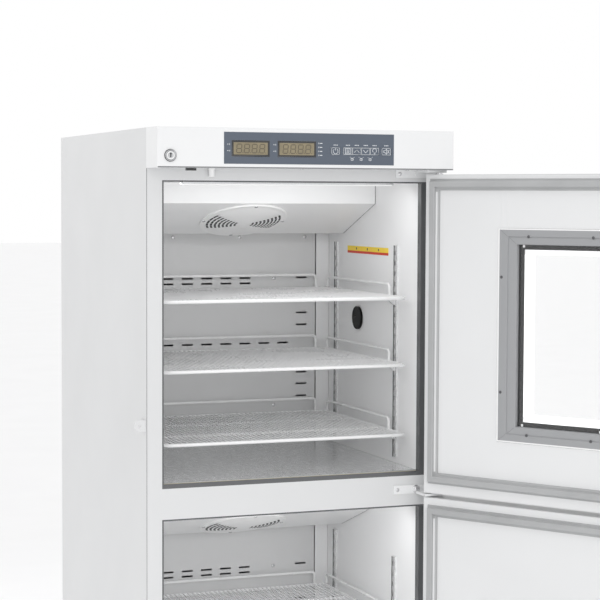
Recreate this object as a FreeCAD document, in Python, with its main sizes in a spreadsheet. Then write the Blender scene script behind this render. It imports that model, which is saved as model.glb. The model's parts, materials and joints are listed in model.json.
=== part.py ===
import FreeCAD, Part
import Sketcher
import math
import os
import re

# Upright laboratory cabinet with two insulated chambers, one door to each, and a
# machine compartment below. Millimetres, +Z up, +X to the right of someone facing the
# doors, +Y towards the back. The origin is on the floor, on the front frame's plane,
# midway across the width. Both doors stand open.

Vector = FreeCAD.Vector

SIZES = [
    # outer cabinet
    ("cabWidth", 620), ("cabDepth", 706), ("skin", 1.5), ("footHeight", 83),
    ("plinthHeight", 320), ("railHeight", 36.5), ("openHeight", 593.7),
    ("mullionHeight", 69), ("openTop", 104.1), ("stileWidth", 34.7), ("rearReturn", 20),
    # chambers
    ("breakerDepth", 24), ("breakerWall", 2), ("linerSkin", 1), ("backFoam", 44.5),
    ("floorStep", 1.8), ("floorSkin", 1), ("fitGap", 0.3),
    # fan hood
    ("hoodRun", 181.6), ("hoodDrop", 42.5), ("hoodHeel", 84.8), ("hoodFoot", 109.9),
    ("hoodSkin", 1.2), ("hoodGap", 0.6),
    # fan, its guard and its motor, measured along the fan's own axis
    ("fanAlong", 103), ("fanSide", 5), ("guardRadius", 95), ("guardRise", 11),
    ("guardSkin", 2), ("guardRim", 3.5), ("guardLap", 13), ("slotWidth", 4),
    ("slotRim", 13.5), ("slotFirst", 18), ("slotArc", 64),
    ("tipGap", 8), ("hubRadius", 22), ("hubDepth", 22), ("hubBack", 30),
    ("bladeWide", 26), ("bladeThick", 1.6), ("bladePitch", 32), ("shaftRadius", 4),
    ("shaftFit", 0.05), ("motorRadius", 34), ("motorDepth", 19), ("motorPlate", 42),
    ("plateThick", 2), ("postRadius", 3), ("postOut", 4),
    # air duct panel behind the shelves
    ("ductRoom", 147.8), ("ductSide", 36.3), ("ductSkin", 1.2), ("ductReturn", 20),
    ("ventLength", 26), ("ventHeight", 4), ("ventPitch", 45.6),
    # cooling coil behind the duct panel
    ("coilSide", 95.3), ("coilBehind", 34.3), ("coilDepth", 80), ("coilTop", 220),
    ("coilHeight", 190), ("finPitch", 18), ("finThick", 1.2), ("tubeRadius", 6),
    # shelf posts and clips
    ("postFront", 128.4), ("postBehind", 46), ("postWide", 16), ("postDeep", 4.3),
    ("postDrop", 129.9), ("postStand", 14.8), ("postSkin", 1.2), ("notchPitch", 22),
    ("notchTall", 9), ("notchWide", 5), ("clipReach", 17), ("clipTall", 15),
    ("clipWide", 10), ("clipGap", 0.2),
    # wire shelves
    ("shelfSide", 11.3), ("shelfFront", 42.5), ("shelfBehind", 13.7), ("rimRod", 3.5),
    ("shelfBend", 17),
    ("deckWire", 1.4), ("deckPitch", 10.4), ("deckSink", 1.1), ("crossRod", 2.5),
    ("guardRod", 3), ("sideGuard", 28.5), ("rearGuard", 33.5),
    ("guardBend", 9), ("sideGuardFront", 132), ("rearGuardSide", 26.5),
    ("shelfOne", 237), ("shelfTwo", 376.2), ("shelfThree", 521.4),
    ("lowShelfOne", 262), ("lowShelfTwo", 430),
    # access port through the right wall
    ("portShare", 0.61939), ("portDrop", 295.9), ("portCap", 25.5), ("portCapThick", 5),
    ("portBore", 22.1), ("portSleeve", 28), ("portFlange", 34), ("portFlangeThick", 3),
    ("plugRadius", 21.8), ("plugLength", 46),
    # marker strip on the right wall
    ("labelAhead", 44.6), ("labelBehind", 62.7), ("labelDrop", 136.9), ("labelTall", 16),
    ("labelThick", 0.4),
    # head with the controls
    ("headHeight", 77.8), ("headDepth", 72.5), ("headWall", 2.5), ("headRound", 3),
    ("overlayLeft", -176.5), ("overlayRight", 178.3), ("overlayTop", 8.5),
    ("overlayFoot", 69.6), ("overlaySeat", 1.2), ("overlayProud", 0.3),
    ("paneTop", 24.3), ("paneFoot", 55.6), ("paneOneLeft", -161), ("paneOneRight", -83.6),
    ("paneTwoLeft", -67.2), ("paneTwoRight", 12.6), ("lampRadius", 1.5),
    ("keyTop", 35.2), ("keyFoot", 49.8), ("keyProud", 0.5), ("keyThick", 0.8),
    ("keyTravel", 0.8), ("keyGap", 0.3), ("stemWide", 8), ("stemTall", 6),
    ("stemLong", 6),
    # lock
    ("lockInset", 26.8), ("lockDrop", 54.8), ("lockFlange", 11), ("lockBarrel", 9),
    ("lockCore", 5), ("lockProud", 2), ("lockLong", 32.5), ("discRadius", 13),
    ("discThick", 2), ("crankRadius", 9.9), ("crankPin", 2), ("crankLong", 6),
    ("boltAway", 39.2), ("boltWide", 20), ("boltFront", -48), ("boltThick", 6),
    ("boltShow", 5), ("yokeTall", 16), ("yokeThick", 3), ("yokeSlack", 0.5),
    ("strikeGap", 2),
    # door sensor under the head
    ("sensorSide", -180), ("sensorFront", -7), ("sensorRadius", 5.5), ("sensorFoot", 94),
    ("collarRadius", 6.4), ("collarTall", 2.2),
    # hinges
    ("pinInset", 16.75), ("pinFront", 39.2), ("pinRadius", 5), ("pinFit", 0.05),
    ("pinReach", 16), ("armThick", 5), ("armFront", 50), ("armWide", 43),
    ("legWide", 91), ("legThick", 3), ("hingeEdge", 5), ("bushHalf", 12),
    ("bushTall", 22), ("doorGap", 2),
    # doors
    ("doorEdge", 2), ("doorThick", 58), ("doorSkin", 1.5), ("sealGap", 14),
    ("upDoorOver", 17.7), ("upDoorUnder", 34.9), ("loDoorOver", 25.1),
    ("loDoorUnder", 27.5), ("doorOpen", 122.7), ("panelThick", 2), ("doorRound", 4),
    ("sealInset", 10.6), ("sealTop", 8.7), ("sealFoot", 20.2), ("sealLowTop", 14.6),
    ("sealWide", 23.2), ("sealBase", 5), ("sealLip", 0.5), ("lipInset", 4.5),
    ("lipWide", 13),
    # window, sizes from the door's outer edges
    ("frameEdge", 169.9), ("frameTop", 104.9), ("frameFoot", 118.5), ("frameWide", 25),
    ("frameProud", 3), ("frameStep", 18.5), ("stepLow", 1.5), ("stepDeep", 8),
    ("paneThick", 4), ("paneLap", 3), ("spacerWide", 28), ("grooveWide", 3),
    ("grooveDeep", 2),
    # handles
    ("handleEdge", 40), ("handleReach", 34), ("handleRadius", 8), ("handleLong", 300),
    ("handlePost", 6), ("handlePitch", 240),
    # padlock tabs
    ("tabDrop", 462.9), ("tabTall", 22), ("tabReach", 24), ("tabThick", 3),
    ("tabLeg", 28), ("tabHole", 3.5), ("tabFront", 2),
    # screws
    ("screwHead", 4), ("screwProud", 1.6),
    # machine compartment
    ("trayThick", 2), ("rollerRadius", 25), ("rollerWide", 24), ("rollerInset", 60),
    ("rollerBack", 66), ("axleRadius", 5), ("axleFit", 0.05), ("earThick", 3),
    ("earHalf", 20), ("earGap", 2), ("earFoot", 13), ("footInset", 45), ("footFront", 50),
    ("footPad", 22), ("footPadTall", 10), ("footStem", 6), ("footNut", 11),
    ("footNutTall", 12), ("grilleEdge", 5), ("louvreLong", 220), ("louvreTall", 8),
    ("louvrePitch", 16), ("louvreSide", 130), ("inletSide", 200), ("inletUp", 117),
    ("inletFlange", 3), ("inletWide", 58), ("inletTall", 32), ("inletBody", 30),
    ("socketWide", 26), ("socketTall", 19), ("socketDeep", 18), ("bladeLong", 10),
    ("pumpSide", -130), ("pumpBack", 470), ("pumpRadius", 78), ("pumpTall", 150),
    ("pumpRound", 34), ("pumpFoot", 14), ("plateWide", 210), ("plateDeep", 150),
]

DERIVED = [
    ("foamBase", "=footHeight+plinthHeight"),
    ("loBot", "=foamBase+railHeight"),
    ("loTop", "=loBot+openHeight"),
    ("upBot", "=loTop+mullionHeight"),
    ("upTop", "=upBot+openHeight"),
    ("cabHeight", "=upTop+openTop"),
    ("halfWidth", "=cabWidth/2"),
    ("halfOpen", "=cabWidth/2-stileWidth"),
    ("linerBack", "=cabDepth-2*skin-backFoam"),
    ("headFoot", "=cabHeight-headHeight"),
    ("hoodSlope", "=(hoodFoot-hoodDrop)/hoodRun"),
    ("hoodLean", "=sqrt(1+hoodSlope*hoodSlope)"),
    ("doorHalf", "=halfWidth-doorEdge"),
    ("doorFace", "=-sealGap-doorThick"),
    ("pinSide", "=halfWidth-pinInset"),
    ("upDoorTop", "=upTop+upDoorOver"),
    ("upDoorBot", "=upBot-upDoorUnder"),
    ("loDoorTop", "=loTop+loDoorOver"),
    ("loDoorBot", "=loBot-loDoorUnder"),
    ("ductPlane", "=linerBack-ductRoom"),
    ("ductHalf", "=halfOpen-ductSide"),
    ("hoodBack", "=ductPlane-hoodHeel"),
    ("hoodFront", "=hoodBack-hoodRun"),
    ("coilHalf", "=halfOpen-coilSide"),
    ("coilFront", "=ductPlane+coilBehind"),
    ("fanHole", "=guardRadius-guardLap"),
    ("slotPitch", "=(guardRadius-slotRim-slotFirst-slotWidth)/7"),
    ("screwRing", "=guardRadius*0.95"),
    ("impellerRadius", "=fanHole-tipGap"),
    ("postRing", "=fanHole+postOut"),
    ("postRear", "=ductPlane-postBehind"),
    ("portDepth", "=postFront+portShare*(postRear-postFront)"),
    ("labelFront", "=postFront+labelAhead"),
    ("labelRear", "=postRear-labelBehind"),
    ("shelfHalf", "=halfOpen-shelfSide"),
    ("shelfRear", "=ductPlane-shelfBehind"),
    ("rearGuardHalf", "=shelfHalf-rearGuardSide"),
    ("deckCentre", "=rimRod-deckSink"),
    ("crossCentre", "=crossRod-rimRod"),
    ("lockSide", "=halfWidth-lockInset"),
    ("boltLeft", "=boltAway-lockSide"),
    ("boltRight", "=boltLeft+boltWide"),
    ("rollerSide", "=halfWidth-rollerInset"),
    ("footSide", "=halfWidth-footInset"),
]

doc = FreeCAD.newDocument("LaboratoryCabinet")
sheet = doc.addObject("Spreadsheet::Sheet", "Dims")
for row, (alias, value) in enumerate(SIZES + DERIVED, start=1):
    sheet.set("A%d" % row, alias)
    sheet.set("B%d" % row, str(value))
    sheet.setAlias("B%d" % row, alias)
doc.recompute()

NAMES = {alias for alias, value in SIZES + DERIVED}
NODES = []


def size(alias):
    # the number held in a named cell
    return float(sheet.get(alias))


def bound(text):
    # an expression in named cells, as the document reads it
    return re.sub(r"[A-Za-z]\w*", lambda m: "Dims." + m.group(0) if m.group(0) in NAMES
                  else m.group(0), text)


def bind(item, **sizes):
    for key, text in sizes.items():
        item.setExpression(key.replace("_", "."), bound(text))


def place(item, x="0", y="0", z="0"):
    bind(item, Placement_Base_x=x, Placement_Base_y=y, Placement_Base_z=z)


def box(name, x0, x1, y0, y1, z0, z1):
    item = doc.addObject("Part::Box", name)
    bind(item, Length="(%s)-(%s)" % (x1, x0), Width="(%s)-(%s)" % (y1, y0),
         Height="(%s)-(%s)" % (z1, z0))
    place(item, x0, y0, z0)
    return item


def rod(name, axis, x, y, z, radius, length):
    # a cylinder that starts at the point and runs along +X, +Y or +Z
    item = doc.addObject("Part::Cylinder", name)
    turn = {"Z": (Vector(0, 0, 1), 0), "X": (Vector(0, 1, 0), 90),
            "Y": (Vector(1, 0, 0), -90)}[axis]
    item.Placement = FreeCAD.Placement(Vector(), FreeCAD.Rotation(*turn))
    bind(item, Radius=radius, Height=length)
    place(item, x, y, z)
    return item


def group(name, items):
    item = doc.addObject("Part::Compound", name)
    item.Links = items
    return item


def fuse(name, items):
    item = doc.addObject("Part::MultiFuse", name)
    item.Shapes = items
    return item


def cut(name, base, tools):
    item = doc.addObject("Part::Cut", name)
    item.Base = base
    item.Tool = tools[0] if len(tools) == 1 else group(name + "Tools", tools)
    return item


def ring(name, x0, x1, y0, y1, z0, z1, wide):
    # a rectangular ring, open along Y, with one wall width all round
    outer = box(name + "Outer", x0, x1, y0, y1, z0, z1)
    inner = box(name + "Inner", "%s+(%s)" % (x0, wide), "%s-(%s)" % (x1, wide),
                "%s-1" % y0, "%s+1" % y1, "%s+(%s)" % (z0, wide), "%s-(%s)" % (z1, wide))
    return cut(name, outer, [inner])


def rounded(name, base, alias, wanted):
    # fillet the edges of the base that the test picks
    doc.recompute()
    radius = size(alias)
    item = doc.addObject("Part::Fillet", name)
    item.Base = base
    item.Edges = [(i, radius, radius) for i, edge in enumerate(base.Shape.Edges, start=1)
                  if wanted(edge)]
    return item


def solid(name, shape):
    item = doc.addObject("Part::Feature", name)
    item.Shape = shape
    return item


def node(item, label):
    item.Label = label
    NODES.append(item)
    return item


def plane(body, role):
    return [f for f in body.Origin.OriginFeatures if f.Role == role][0]


def sketched(name, role, points, length, midway=True):
    # a PartDesign body padded from a closed outline whose corners follow the sheet
    body = doc.addObject("PartDesign::Body", name)
    sketch = body.newObject("Sketcher::SketchObject", name + "Outline")
    sketch.AttachmentSupport = [(plane(body, role), "")]
    sketch.MapMode = "FlatFace"
    doc.recompute()
    probe = []
    for across, up in points:
        probe.append((number(across), number(up)))
    for i, start in enumerate(probe):
        end = probe[(i + 1) % len(probe)]
        sketch.addGeometry(Part.LineSegment(Vector(*start, 0), Vector(*end, 0)))
    count = len(probe)
    for i in range(count):
        joint = Sketcher.Constraint("Coincident", i, 2, (i + 1) % count, 1)
        sketch.addConstraint(joint)
    for i, (across, up) in enumerate(points):
        for kind, text, value in (("DistanceX", across, probe[i][0]),
                                  ("DistanceY", up, probe[i][1])):
            index = sketch.addConstraint(Sketcher.Constraint(kind, -1, 1, i, 1, value))
            sketch.setExpression("Constraints[%d]" % index, bound(text))
    pad = body.newObject("PartDesign::Pad", name + "Pad")
    pad.Profile = sketch
    pad.Midplane = midway
    bind(pad, Length=length)
    return body


def number(text):
    # works an expression out by way of a spare cell
    spare.setExpression("Length", "(%s)*1mm+100m" % bound(text))
    doc.recompute([spare])
    return spare.Length.Value - 100000.0



spare = doc.addObject("Part::Box", "Spare")


# ---------------------------------------------------------------- outer cabinet

port_y = "portDepth"
port_z = "upTop-portDrop"


def side_panel(label, sign):
    # outer sheet with the front stile and a rear return folded from it
    def span(a, b):
        ends = ("%s*(%s)" % (sign, a), "%s*(%s)" % (sign, b))
        return ends if sign == "1" else ends[::-1]
    sheet_side = box(label + "Sheet", *span("halfWidth-skin", "halfWidth"), "0", "cabDepth",
                     "footHeight", "cabHeight-skin")
    stile = box(label + "Stile", *span("halfOpen", "halfWidth"), "0", "skin",
                "footHeight", "cabHeight-skin")
    back = box(label + "Return", *span("halfWidth-rearReturn", "halfWidth"),
               "cabDepth-2*skin", "cabDepth-skin", "footHeight", "cabHeight-skin")
    whole = fuse(label + "Fold", [sheet_side, stile, back])
    if sign == "-1":
        return node(whole, label)
    hole = rod(label + "Port", "X", "halfOpen-20", port_y, port_z,
               "portSleeve+fitGap", "stileWidth+40")
    return node(cut(label + "Cut", whole, [hole]), label)


side_panel("left_side_panel", "-1")
side_panel("right_side_panel", "1")

node(box("TopPanel", "-halfWidth", "halfWidth", "0", "cabDepth", "cabHeight-skin",
         "cabHeight"), "top_panel")

backPlate = box("BackPlate", "-halfWidth+skin", "halfWidth-skin", "cabDepth-skin",
                "cabDepth", "footHeight", "cabHeight-skin")
backCuts = [box("BackInlet", "inletSide-inletWide/2+8", "inletSide+inletWide/2-8",
                "cabDepth-10", "cabDepth+10", "footHeight+inletUp-inletTall/2+3",
                "footHeight+inletUp+inletTall/2-3")]
for k in range(10):
    backCuts.append(box("BackVent%d" % k, "-150", "70", "cabDepth-10", "cabDepth+10",
                        "footHeight+90+%d*louvrePitch" % k,
                        "footHeight+90+%d*louvrePitch+louvreTall" % k))
node(cut("BackPanel", backPlate, backCuts), "back_panel")

rails = []
for name, low, high in (("RailTop", "upTop", "cabHeight-skin"), ("RailMiddle", "loTop", "upBot"),
                        ("RailFoot", "foamBase", "loBot")):
    rails.append(box(name, "-halfOpen", "halfOpen", "0", "skin", low, high))
node(group("FrontRails", rails), "front_rails")


def chamber_volume(name, low, high):
    # the space that a breaker frame and a liner take out of the foam
    gap = "breakerWall"
    frame = box(name + "Frame", "-halfOpen-" + gap, "halfOpen+" + gap, "-1", "breakerDepth",
                low + "-" + gap, high + "+" + gap)
    room = box(name + "Room", "-halfOpen-linerSkin", "halfOpen+linerSkin",
               "breakerDepth-0.5", "linerBack+linerSkin",
               low + "+floorStep-linerSkin", high + "+linerSkin")
    return [frame, room]


foamBlock = box("FoamBlock", "-halfWidth+skin", "halfWidth-skin", "skin",
                "cabDepth-2*skin", "foamBase", "cabHeight-skin")
foamPort = rod("FoamPort", "X", "halfOpen-20", port_y, port_z, "portSleeve+fitGap",
               "stileWidth+40")
node(cut("Foam", foamBlock, chamber_volume("FoamUp", "upBot", "upTop")
         + chamber_volume("FoamLow", "loBot", "loTop") + [foamPort]), "cabinet_foam")

# ---------------------------------------------------------------- chambers

CHAMBERS = (("Up", "upBot", "upTop"), ("Low", "loBot", "loTop"))

frames = []
liners = []
floors = []
for name, low, high in CHAMBERS:
    frames.append(ring(name + "Breaker", "-halfOpen-breakerWall", "halfOpen+breakerWall",
                       "skin", "breakerDepth", low + "-breakerWall", high + "+breakerWall",
                       "breakerWall"))
    shell = box(name + "LinerShell", "-halfOpen-linerSkin", "halfOpen+linerSkin",
                "breakerDepth", "linerBack+linerSkin", low + "+floorStep-linerSkin",
                high + "+linerSkin")
    room = box(name + "LinerRoom", "-halfOpen", "halfOpen", "breakerDepth-1", "linerBack",
               low + "+floorStep", high)
    cuts = [room]
    if name == "Up":
        cuts.append(rod("LinerPort", "X", "halfOpen-20", port_y, port_z,
                        "portSleeve+fitGap", "stileWidth+40"))
    liners.append(cut(name + "Liner", shell, cuts))
    floors.append(box(name + "Floor", "-halfOpen+fitGap", "halfOpen-fitGap",
                      "breakerDepth", "ductPlane", low + "+floorStep",
                      low + "+floorStep+floorSkin"))
node(group("Breakers", frames), "breaker_frames")
node(group("Liners", liners), "chamber_liners")
node(group("Floors", floors), "floor_sheets")

# ---------------------------------------------------------------- fan hoods

leanX = "hoodFront+hoodSkin"
leanZ = "-hoodDrop-hoodSkin*hoodSlope+hoodSkin*hoodLean"
heelX = "hoodFront+(hoodFoot-hoodDrop-hoodSkin+hoodSkin*hoodLean)/hoodSlope"


def hood(name, high):
    # bent sheet: a vertical front, a sloping face that carries the fan, a flat underside
    outline = [("hoodFront", high), ("hoodFront", high + "-hoodDrop"),
               ("hoodBack", high + "-hoodFoot"), ("ductPlane", high + "-hoodFoot"),
               ("ductPlane", high + "-hoodFoot+hoodSkin"),
               (heelX, high + "-hoodFoot+hoodSkin"), (leanX, high + leanZ), (leanX, high)]
    return sketched(name, "YZ_Plane", outline, "2*(halfOpen-hoodGap)")


def at_fan(item, high):
    # moves a piece built about +Z on to the sloping face, +Z outwards into the chamber
    item.Placement = FreeCAD.Placement(Vector(), FreeCAD.Rotation(Vector(1, 0, 0), 180))
    item.setExpression("Placement.Rotation.Angle", bound("180deg-atan(hoodSlope)"))
    place(item, "fanSide", "hoodFront+fanAlong/hoodLean",
          high + "-hoodDrop-fanAlong*hoodSlope/hoodLean")


def fan_guard(name):
    # shallow dome with a flat rim and two fans of ring slots
    outline = [("0", "guardRise"), ("guardRadius*0.35", "guardRise-0.9"),
               ("guardRadius*0.62", "guardRise-3"), ("guardRadius*0.84", "guardRise-6.3"),
               ("guardRadius*0.9", "guardRim"), ("guardRadius", "guardRim"),
               ("guardRadius", "0"), ("guardRadius*0.88", "0"),
               ("guardRadius*0.82", "guardRise-6.3-guardSkin"),
               ("guardRadius*0.61", "guardRise-3-guardSkin"),
               ("guardRadius*0.34", "guardRise-0.9-guardSkin"), ("0", "guardRise-guardSkin")]
    body = doc.addObject("PartDesign::Body", name + "Body")
    sketch = body.newObject("Sketcher::SketchObject", name + "Outline")
    sketch.AttachmentSupport = [(plane(body, "XZ_Plane"), "")]
    sketch.MapMode = "FlatFace"
    corners = [(number(a), number(b)) for a, b in outline]
    count = len(corners)
    for i, start in enumerate(corners):
        end = corners[(i + 1) % count]
        sketch.addGeometry(Part.LineSegment(Vector(*start, 0), Vector(*end, 0)))
    for i in range(count):
        sketch.addConstraint(Sketcher.Constraint("Coincident", i, 2, (i + 1) % count, 1))
    for i, (across, up) in enumerate(outline):
        for kind, text, value in (("DistanceX", across, corners[i][0]),
                                  ("DistanceY", up, corners[i][1])):
            index = sketch.addConstraint(Sketcher.Constraint(kind, -1, 1, i, 1, value))
            sketch.setExpression("Constraints[%d]" % index, bound(text))
    turned = body.newObject("PartDesign::Revolution", name + "Turned")
    turned.Profile = sketch
    turned.ReferenceAxis = (sketch, ["V_Axis"])
    turned.Angle = 360
    slots = []
    for k in range(8):
        for side in (0, 1):
            tag = "%sSlot%d%d" % (name, k, side)
            outer = rod(tag + "Out", "Z", "0", "0", "-5",
                        "slotFirst+%d*slotPitch+slotWidth" % k, "40")
            outer.Angle = size("slotArc")
            inner = rod(tag + "In", "Z", "0", "0", "-6",
                        "slotFirst+%d*slotPitch" % k, "42")
            sector = cut(tag, outer, [inner])
            turn = 180 * side - size("slotArc") / 2
            sector.Placement = FreeCAD.Placement(Vector(),
                                                 FreeCAD.Rotation(Vector(0, 0, 1), turn))
            slots.append(sector)
    return cut(name, body, slots)


def fan_motor(name):
    # plate on four posts, motor can behind it and the shaft in front
    parts = [rod(name + "Plate", "Z", "0", "0", "-motorPlate", "postRing+postRadius+2",
                 "plateThick"),
             rod(name + "Can", "Z", "0", "0", "-motorPlate-motorDepth", "motorRadius",
                 "motorDepth+0.5"),
             rod(name + "Shaft", "Z", "0", "0", "-motorPlate+plateThick-0.5",
                 "shaftRadius", "motorPlate-plateThick-hubBack+hubDepth*0.8")]
    for k in range(4):
        angle = math.radians(45 + 90 * k)
        parts.append(rod("%sPost%d" % (name, k), "Z", "postRing*%.6f" % math.cos(angle),
                         "postRing*%.6f" % math.sin(angle), "-motorPlate+plateThick-0.5",
                         "postRadius", "motorPlate-plateThick-hoodSkin+0.5"))
    return fuse(name, parts)


def impeller(name):
    # hub with a blind bore and six pitched blades
    hub = rod(name + "Hub", "Z", "0", "0", "-hubBack", "hubRadius", "hubDepth")
    blades = [hub]
    for k in range(6):
        blade = doc.addObject("Part::Box", "%sBlade%d" % (name, k))
        bind(blade, Length="impellerRadius-hubRadius+4", Width="bladeThick",
             Height="bladeWide")
        tilt = FreeCAD.Rotation(Vector(1, 0, 0), size("bladePitch"))
        spin = FreeCAD.Rotation(Vector(0, 0, 1), 60 * k)
        middle = Vector(size("hubRadius") - 4, -size("bladeThick") / 2,
                        -size("bladeWide") / 2)
        lift = Vector(0, 0, -size("hubBack") + size("hubDepth") / 2)
        turn = spin.multiply(tilt)
        blade.Placement = FreeCAD.Placement(lift + turn.multVec(middle), turn)
        blades.append(blade)
    bore = rod(name + "Bore", "Z", "0", "0", "-hubBack-1", "shaftRadius+shaftFit",
               "hubDepth*0.8+2")
    return cut(name, fuse(name + "Whole", blades), [bore])


hoods = []
guards = []
motors = []
for name, low, high in CHAMBERS:
    sheetBody = hood(name + "Hood", high)
    hole = rod(name + "HoodHole", "Z", "0", "0", "-15", "fanHole", "30")
    at_fan(hole, high)
    hoods.append(cut(name + "HoodCut", sheetBody, [hole]))
    guard = fan_guard(name + "Guard")
    at_fan(guard, high)
    guards.append(guard)
    motor = fan_motor(name + "Motor")
    at_fan(motor, high)
    motors.append(motor)
    rotor = impeller(name + "Rotor")
    at_fan(rotor, high)
    node(rotor, "upper_fan_impeller" if name == "Up" else "lower_fan_impeller")
node(group("Hoods", hoods), "fan_hoods")
node(group("Guards", guards), "fan_guards")
node(group("Motors", motors), "fan_motors")

# ---------------------------------------------------------------- air duct and coils

COLUMNS = [k + 0.5 for k in range(-5, 5)]
VENTS = [(column, 212.8) for column in COLUMNS if column < 2 or column > 4]
VENTS += [(column, 224.9) for column in COLUMNS if column < 2]
VENTS += [(column, 361.9) for column in COLUMNS if column < 4]
VENTS += [(side, drop) for side in (-4.5, 4.5)
          for drop in (265.9, 293.5, 321.0, 430.4, 457.0, 485.0)]

ducts = []
for name, low, high in CHAMBERS:
    face = box(name + "DuctFace", "-ductHalf", "ductHalf", "ductPlane",
               "ductPlane+ductSkin", low + "+floorStep+floorSkin", high + "-hoodFoot")
    flanges = [box(name + "DuctLeft", "-ductHalf", "-ductHalf+ductSkin", "ductPlane",
                   "ductPlane+ductReturn", low + "+floorStep+floorSkin",
                   high + "-hoodFoot"),
               box(name + "DuctRight", "ductHalf-ductSkin", "ductHalf", "ductPlane",
                   "ductPlane+ductReturn", low + "+floorStep+floorSkin",
                   high + "-hoodFoot")]
    vents = []
    for k, (column, drop) in enumerate(VENTS):
        vents.append(box("%sVent%d" % (name, k), "%g*ventPitch-ventLength/2" % column,
                         "%g*ventPitch+ventLength/2" % column, "ductPlane-5",
                         "ductPlane+5", "%s-%g-ventHeight/2" % (high, drop),
                         "%s-%g+ventHeight/2" % (high, drop)))
    ducts.append(cut(name + "Duct", fuse(name + "DuctFold", [face] + flanges), vents))
node(group("Ducts", ducts), "duct_panels")


def finned_coil(name, half, front, depth, foot, tall, back):
    # upright fins on level tubes; the two end plates reach the wall behind
    fins = []
    count = int(2 * size("coilHalf") / size("finPitch"))
    for k in range(count + 1):
        ends = k in (0, count)
        at = "-%s+%d*2*%s/%d" % (half, k, half, count)
        fins.append(box("%sFin%d" % (name, k), at, at + "+finThick", front,
                        back if ends else "%s+%s" % (front, depth), foot,
                        "%s+%s" % (foot, tall)))
    tubes = []
    for r in range(3):
        for c in range(2):
            tubes.append(rod("%sTube%d%d" % (name, r, c), "X", "-%s-4" % half,
                             "%s+%s*%g" % (front, depth, 0.28 + 0.44 * c),
                             "%s+%s*%g" % (foot, tall, 0.2 + 0.3 * r), "tubeRadius",
                             "2*%s+8+finThick" % half))
    return fuse(name, fins + tubes)


coils = [finned_coil(name + "Coil", "coilHalf", "coilFront", "coilDepth",
                     high + "-coilTop-coilHeight", "coilHeight", "linerBack")
         for name, low, high in CHAMBERS]
node(group("Coils", coils), "evaporators")

# ---------------------------------------------------------------- shelf posts and clips


def shelf_post():
    # shallow channel with a column of notches, its web towards the chamber
    body = doc.addObject("PartDesign::Body", "PostBody")
    wall = body.newObject("Sketcher::SketchObject", "PostOutline")
    wall.AttachmentSupport = [(plane(body, "XY_Plane"), "")]
    wall.MapMode = "FlatFace"
    outline = [("0", "-postWide/2"), ("postDeep", "-postWide/2"),
               ("postDeep", "-postWide/2+postSkin"), ("postSkin", "-postWide/2+postSkin"),
               ("postSkin", "postWide/2-postSkin"), ("postDeep", "postWide/2-postSkin"),
               ("postDeep", "postWide/2"), ("0", "postWide/2")]
    corners = [(number(a), number(b)) for a, b in outline]
    count = len(corners)
    for i, start in enumerate(corners):
        end = corners[(i + 1) % count]
        wall.addGeometry(Part.LineSegment(Vector(*start, 0), Vector(*end, 0)))
    for i in range(count):
        wall.addConstraint(Sketcher.Constraint("Coincident", i, 2, (i + 1) % count, 1))
    for i, (across, up) in enumerate(outline):
        for kind, text, value in (("DistanceX", across, corners[i][0]),
                                  ("DistanceY", up, corners[i][1])):
            index = wall.addConstraint(Sketcher.Constraint(kind, -1, 1, i, 1, value))
            wall.setExpression("Constraints[%d]" % index, bound(text))
    pad = body.newObject("PartDesign::Pad", "PostPad")
    pad.Profile = wall
    bind(pad, Length="openHeight-postDrop-postStand")
    notch = body.newObject("Sketcher::SketchObject", "NotchOutline")
    notch.AttachmentSupport = [(plane(body, "YZ_Plane"), "")]
    notch.MapMode = "FlatFace"
    half = size("notchWide") / 2
    foot = size("notchPitch") / 2
    top = foot + size("notchTall")
    spots = [(-half, foot), (half, foot), (half, top), (-half, top)]
    for i, start in enumerate(spots):
        end = spots[(i + 1) % 4]
        notch.addGeometry(Part.LineSegment(Vector(*start, 0), Vector(*end, 0)))
    for i in range(4):
        notch.addConstraint(Sketcher.Constraint("Coincident", i, 2, (i + 1) % 4, 1))
    doc.recompute()
    before = body.Shape.Volume
    pocket = body.newObject("PartDesign::Pocket", "NotchPocket")
    pocket.Profile = notch
    pocket.Length = size("postDeep") * 2
    pocket.Midplane = True
    doc.recompute()
    if not body.Shape.Volume < before - 1:
        raise ValueError("the notch cuts nothing")
    rows = body.newObject("PartDesign::LinearPattern", "NotchRows")
    rows.Originals = [pocket]
    rows.Direction = (wall, ["N_Axis"])
    tall = size("openHeight") - size("postDrop") - size("postStand")
    many = int((tall - size("notchPitch")) // size("notchPitch")) + 1
    rows.Occurrences = many
    rows.Length = (many - 1) * size("notchPitch")
    body.Tip = rows
    doc.recompute()
    return body


postBody = shelf_post()
posts = []
for name, low, high in CHAMBERS:
    for at in ("postFront", "postRear"):
        right = postBody.Shape.copy()
        right.translate(Vector(size("halfOpen") - size("postDeep"), size(at),
                               size(low) + size("postStand")))
        posts.append(right)
        posts.append(right.mirror(Vector(0, 0, 0), Vector(1, 0, 0)))


clipBody = sketched("ClipBody", "XZ_Plane",
                    [("0", "0"), ("0", "-clipTall"), ("-clipReach*0.2", "-clipTall"),
                     ("-clipReach", "-3"), ("-clipReach", "0")], "clipWide")
doc.recompute()

SHELVES = [("upper_shelf_top", "upTop", "shelfOne"),
           ("upper_shelf_middle", "upTop", "shelfTwo"),
           ("upper_shelf_bottom", "upTop", "shelfThree"),
           ("lower_shelf_top", "loTop", "lowShelfOne"),
           ("lower_shelf_bottom", "loTop", "lowShelfTwo")]
clips = []
for label, high, drop in SHELVES:
    for at in ("postFront", "postRear"):
        right = clipBody.Shape.copy()
        top = size(high) - size(drop) - size("rimRod") - size("clipGap")
        right.translate(Vector(size("halfOpen") - size("postDeep"), size(at), top))
        clips.append(right)
        clips.append(right.mirror(Vector(0, 0, 0), Vector(1, 0, 0)))
node(solid("Posts", Part.makeCompound(posts + clips)), "shelf_posts")

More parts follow.
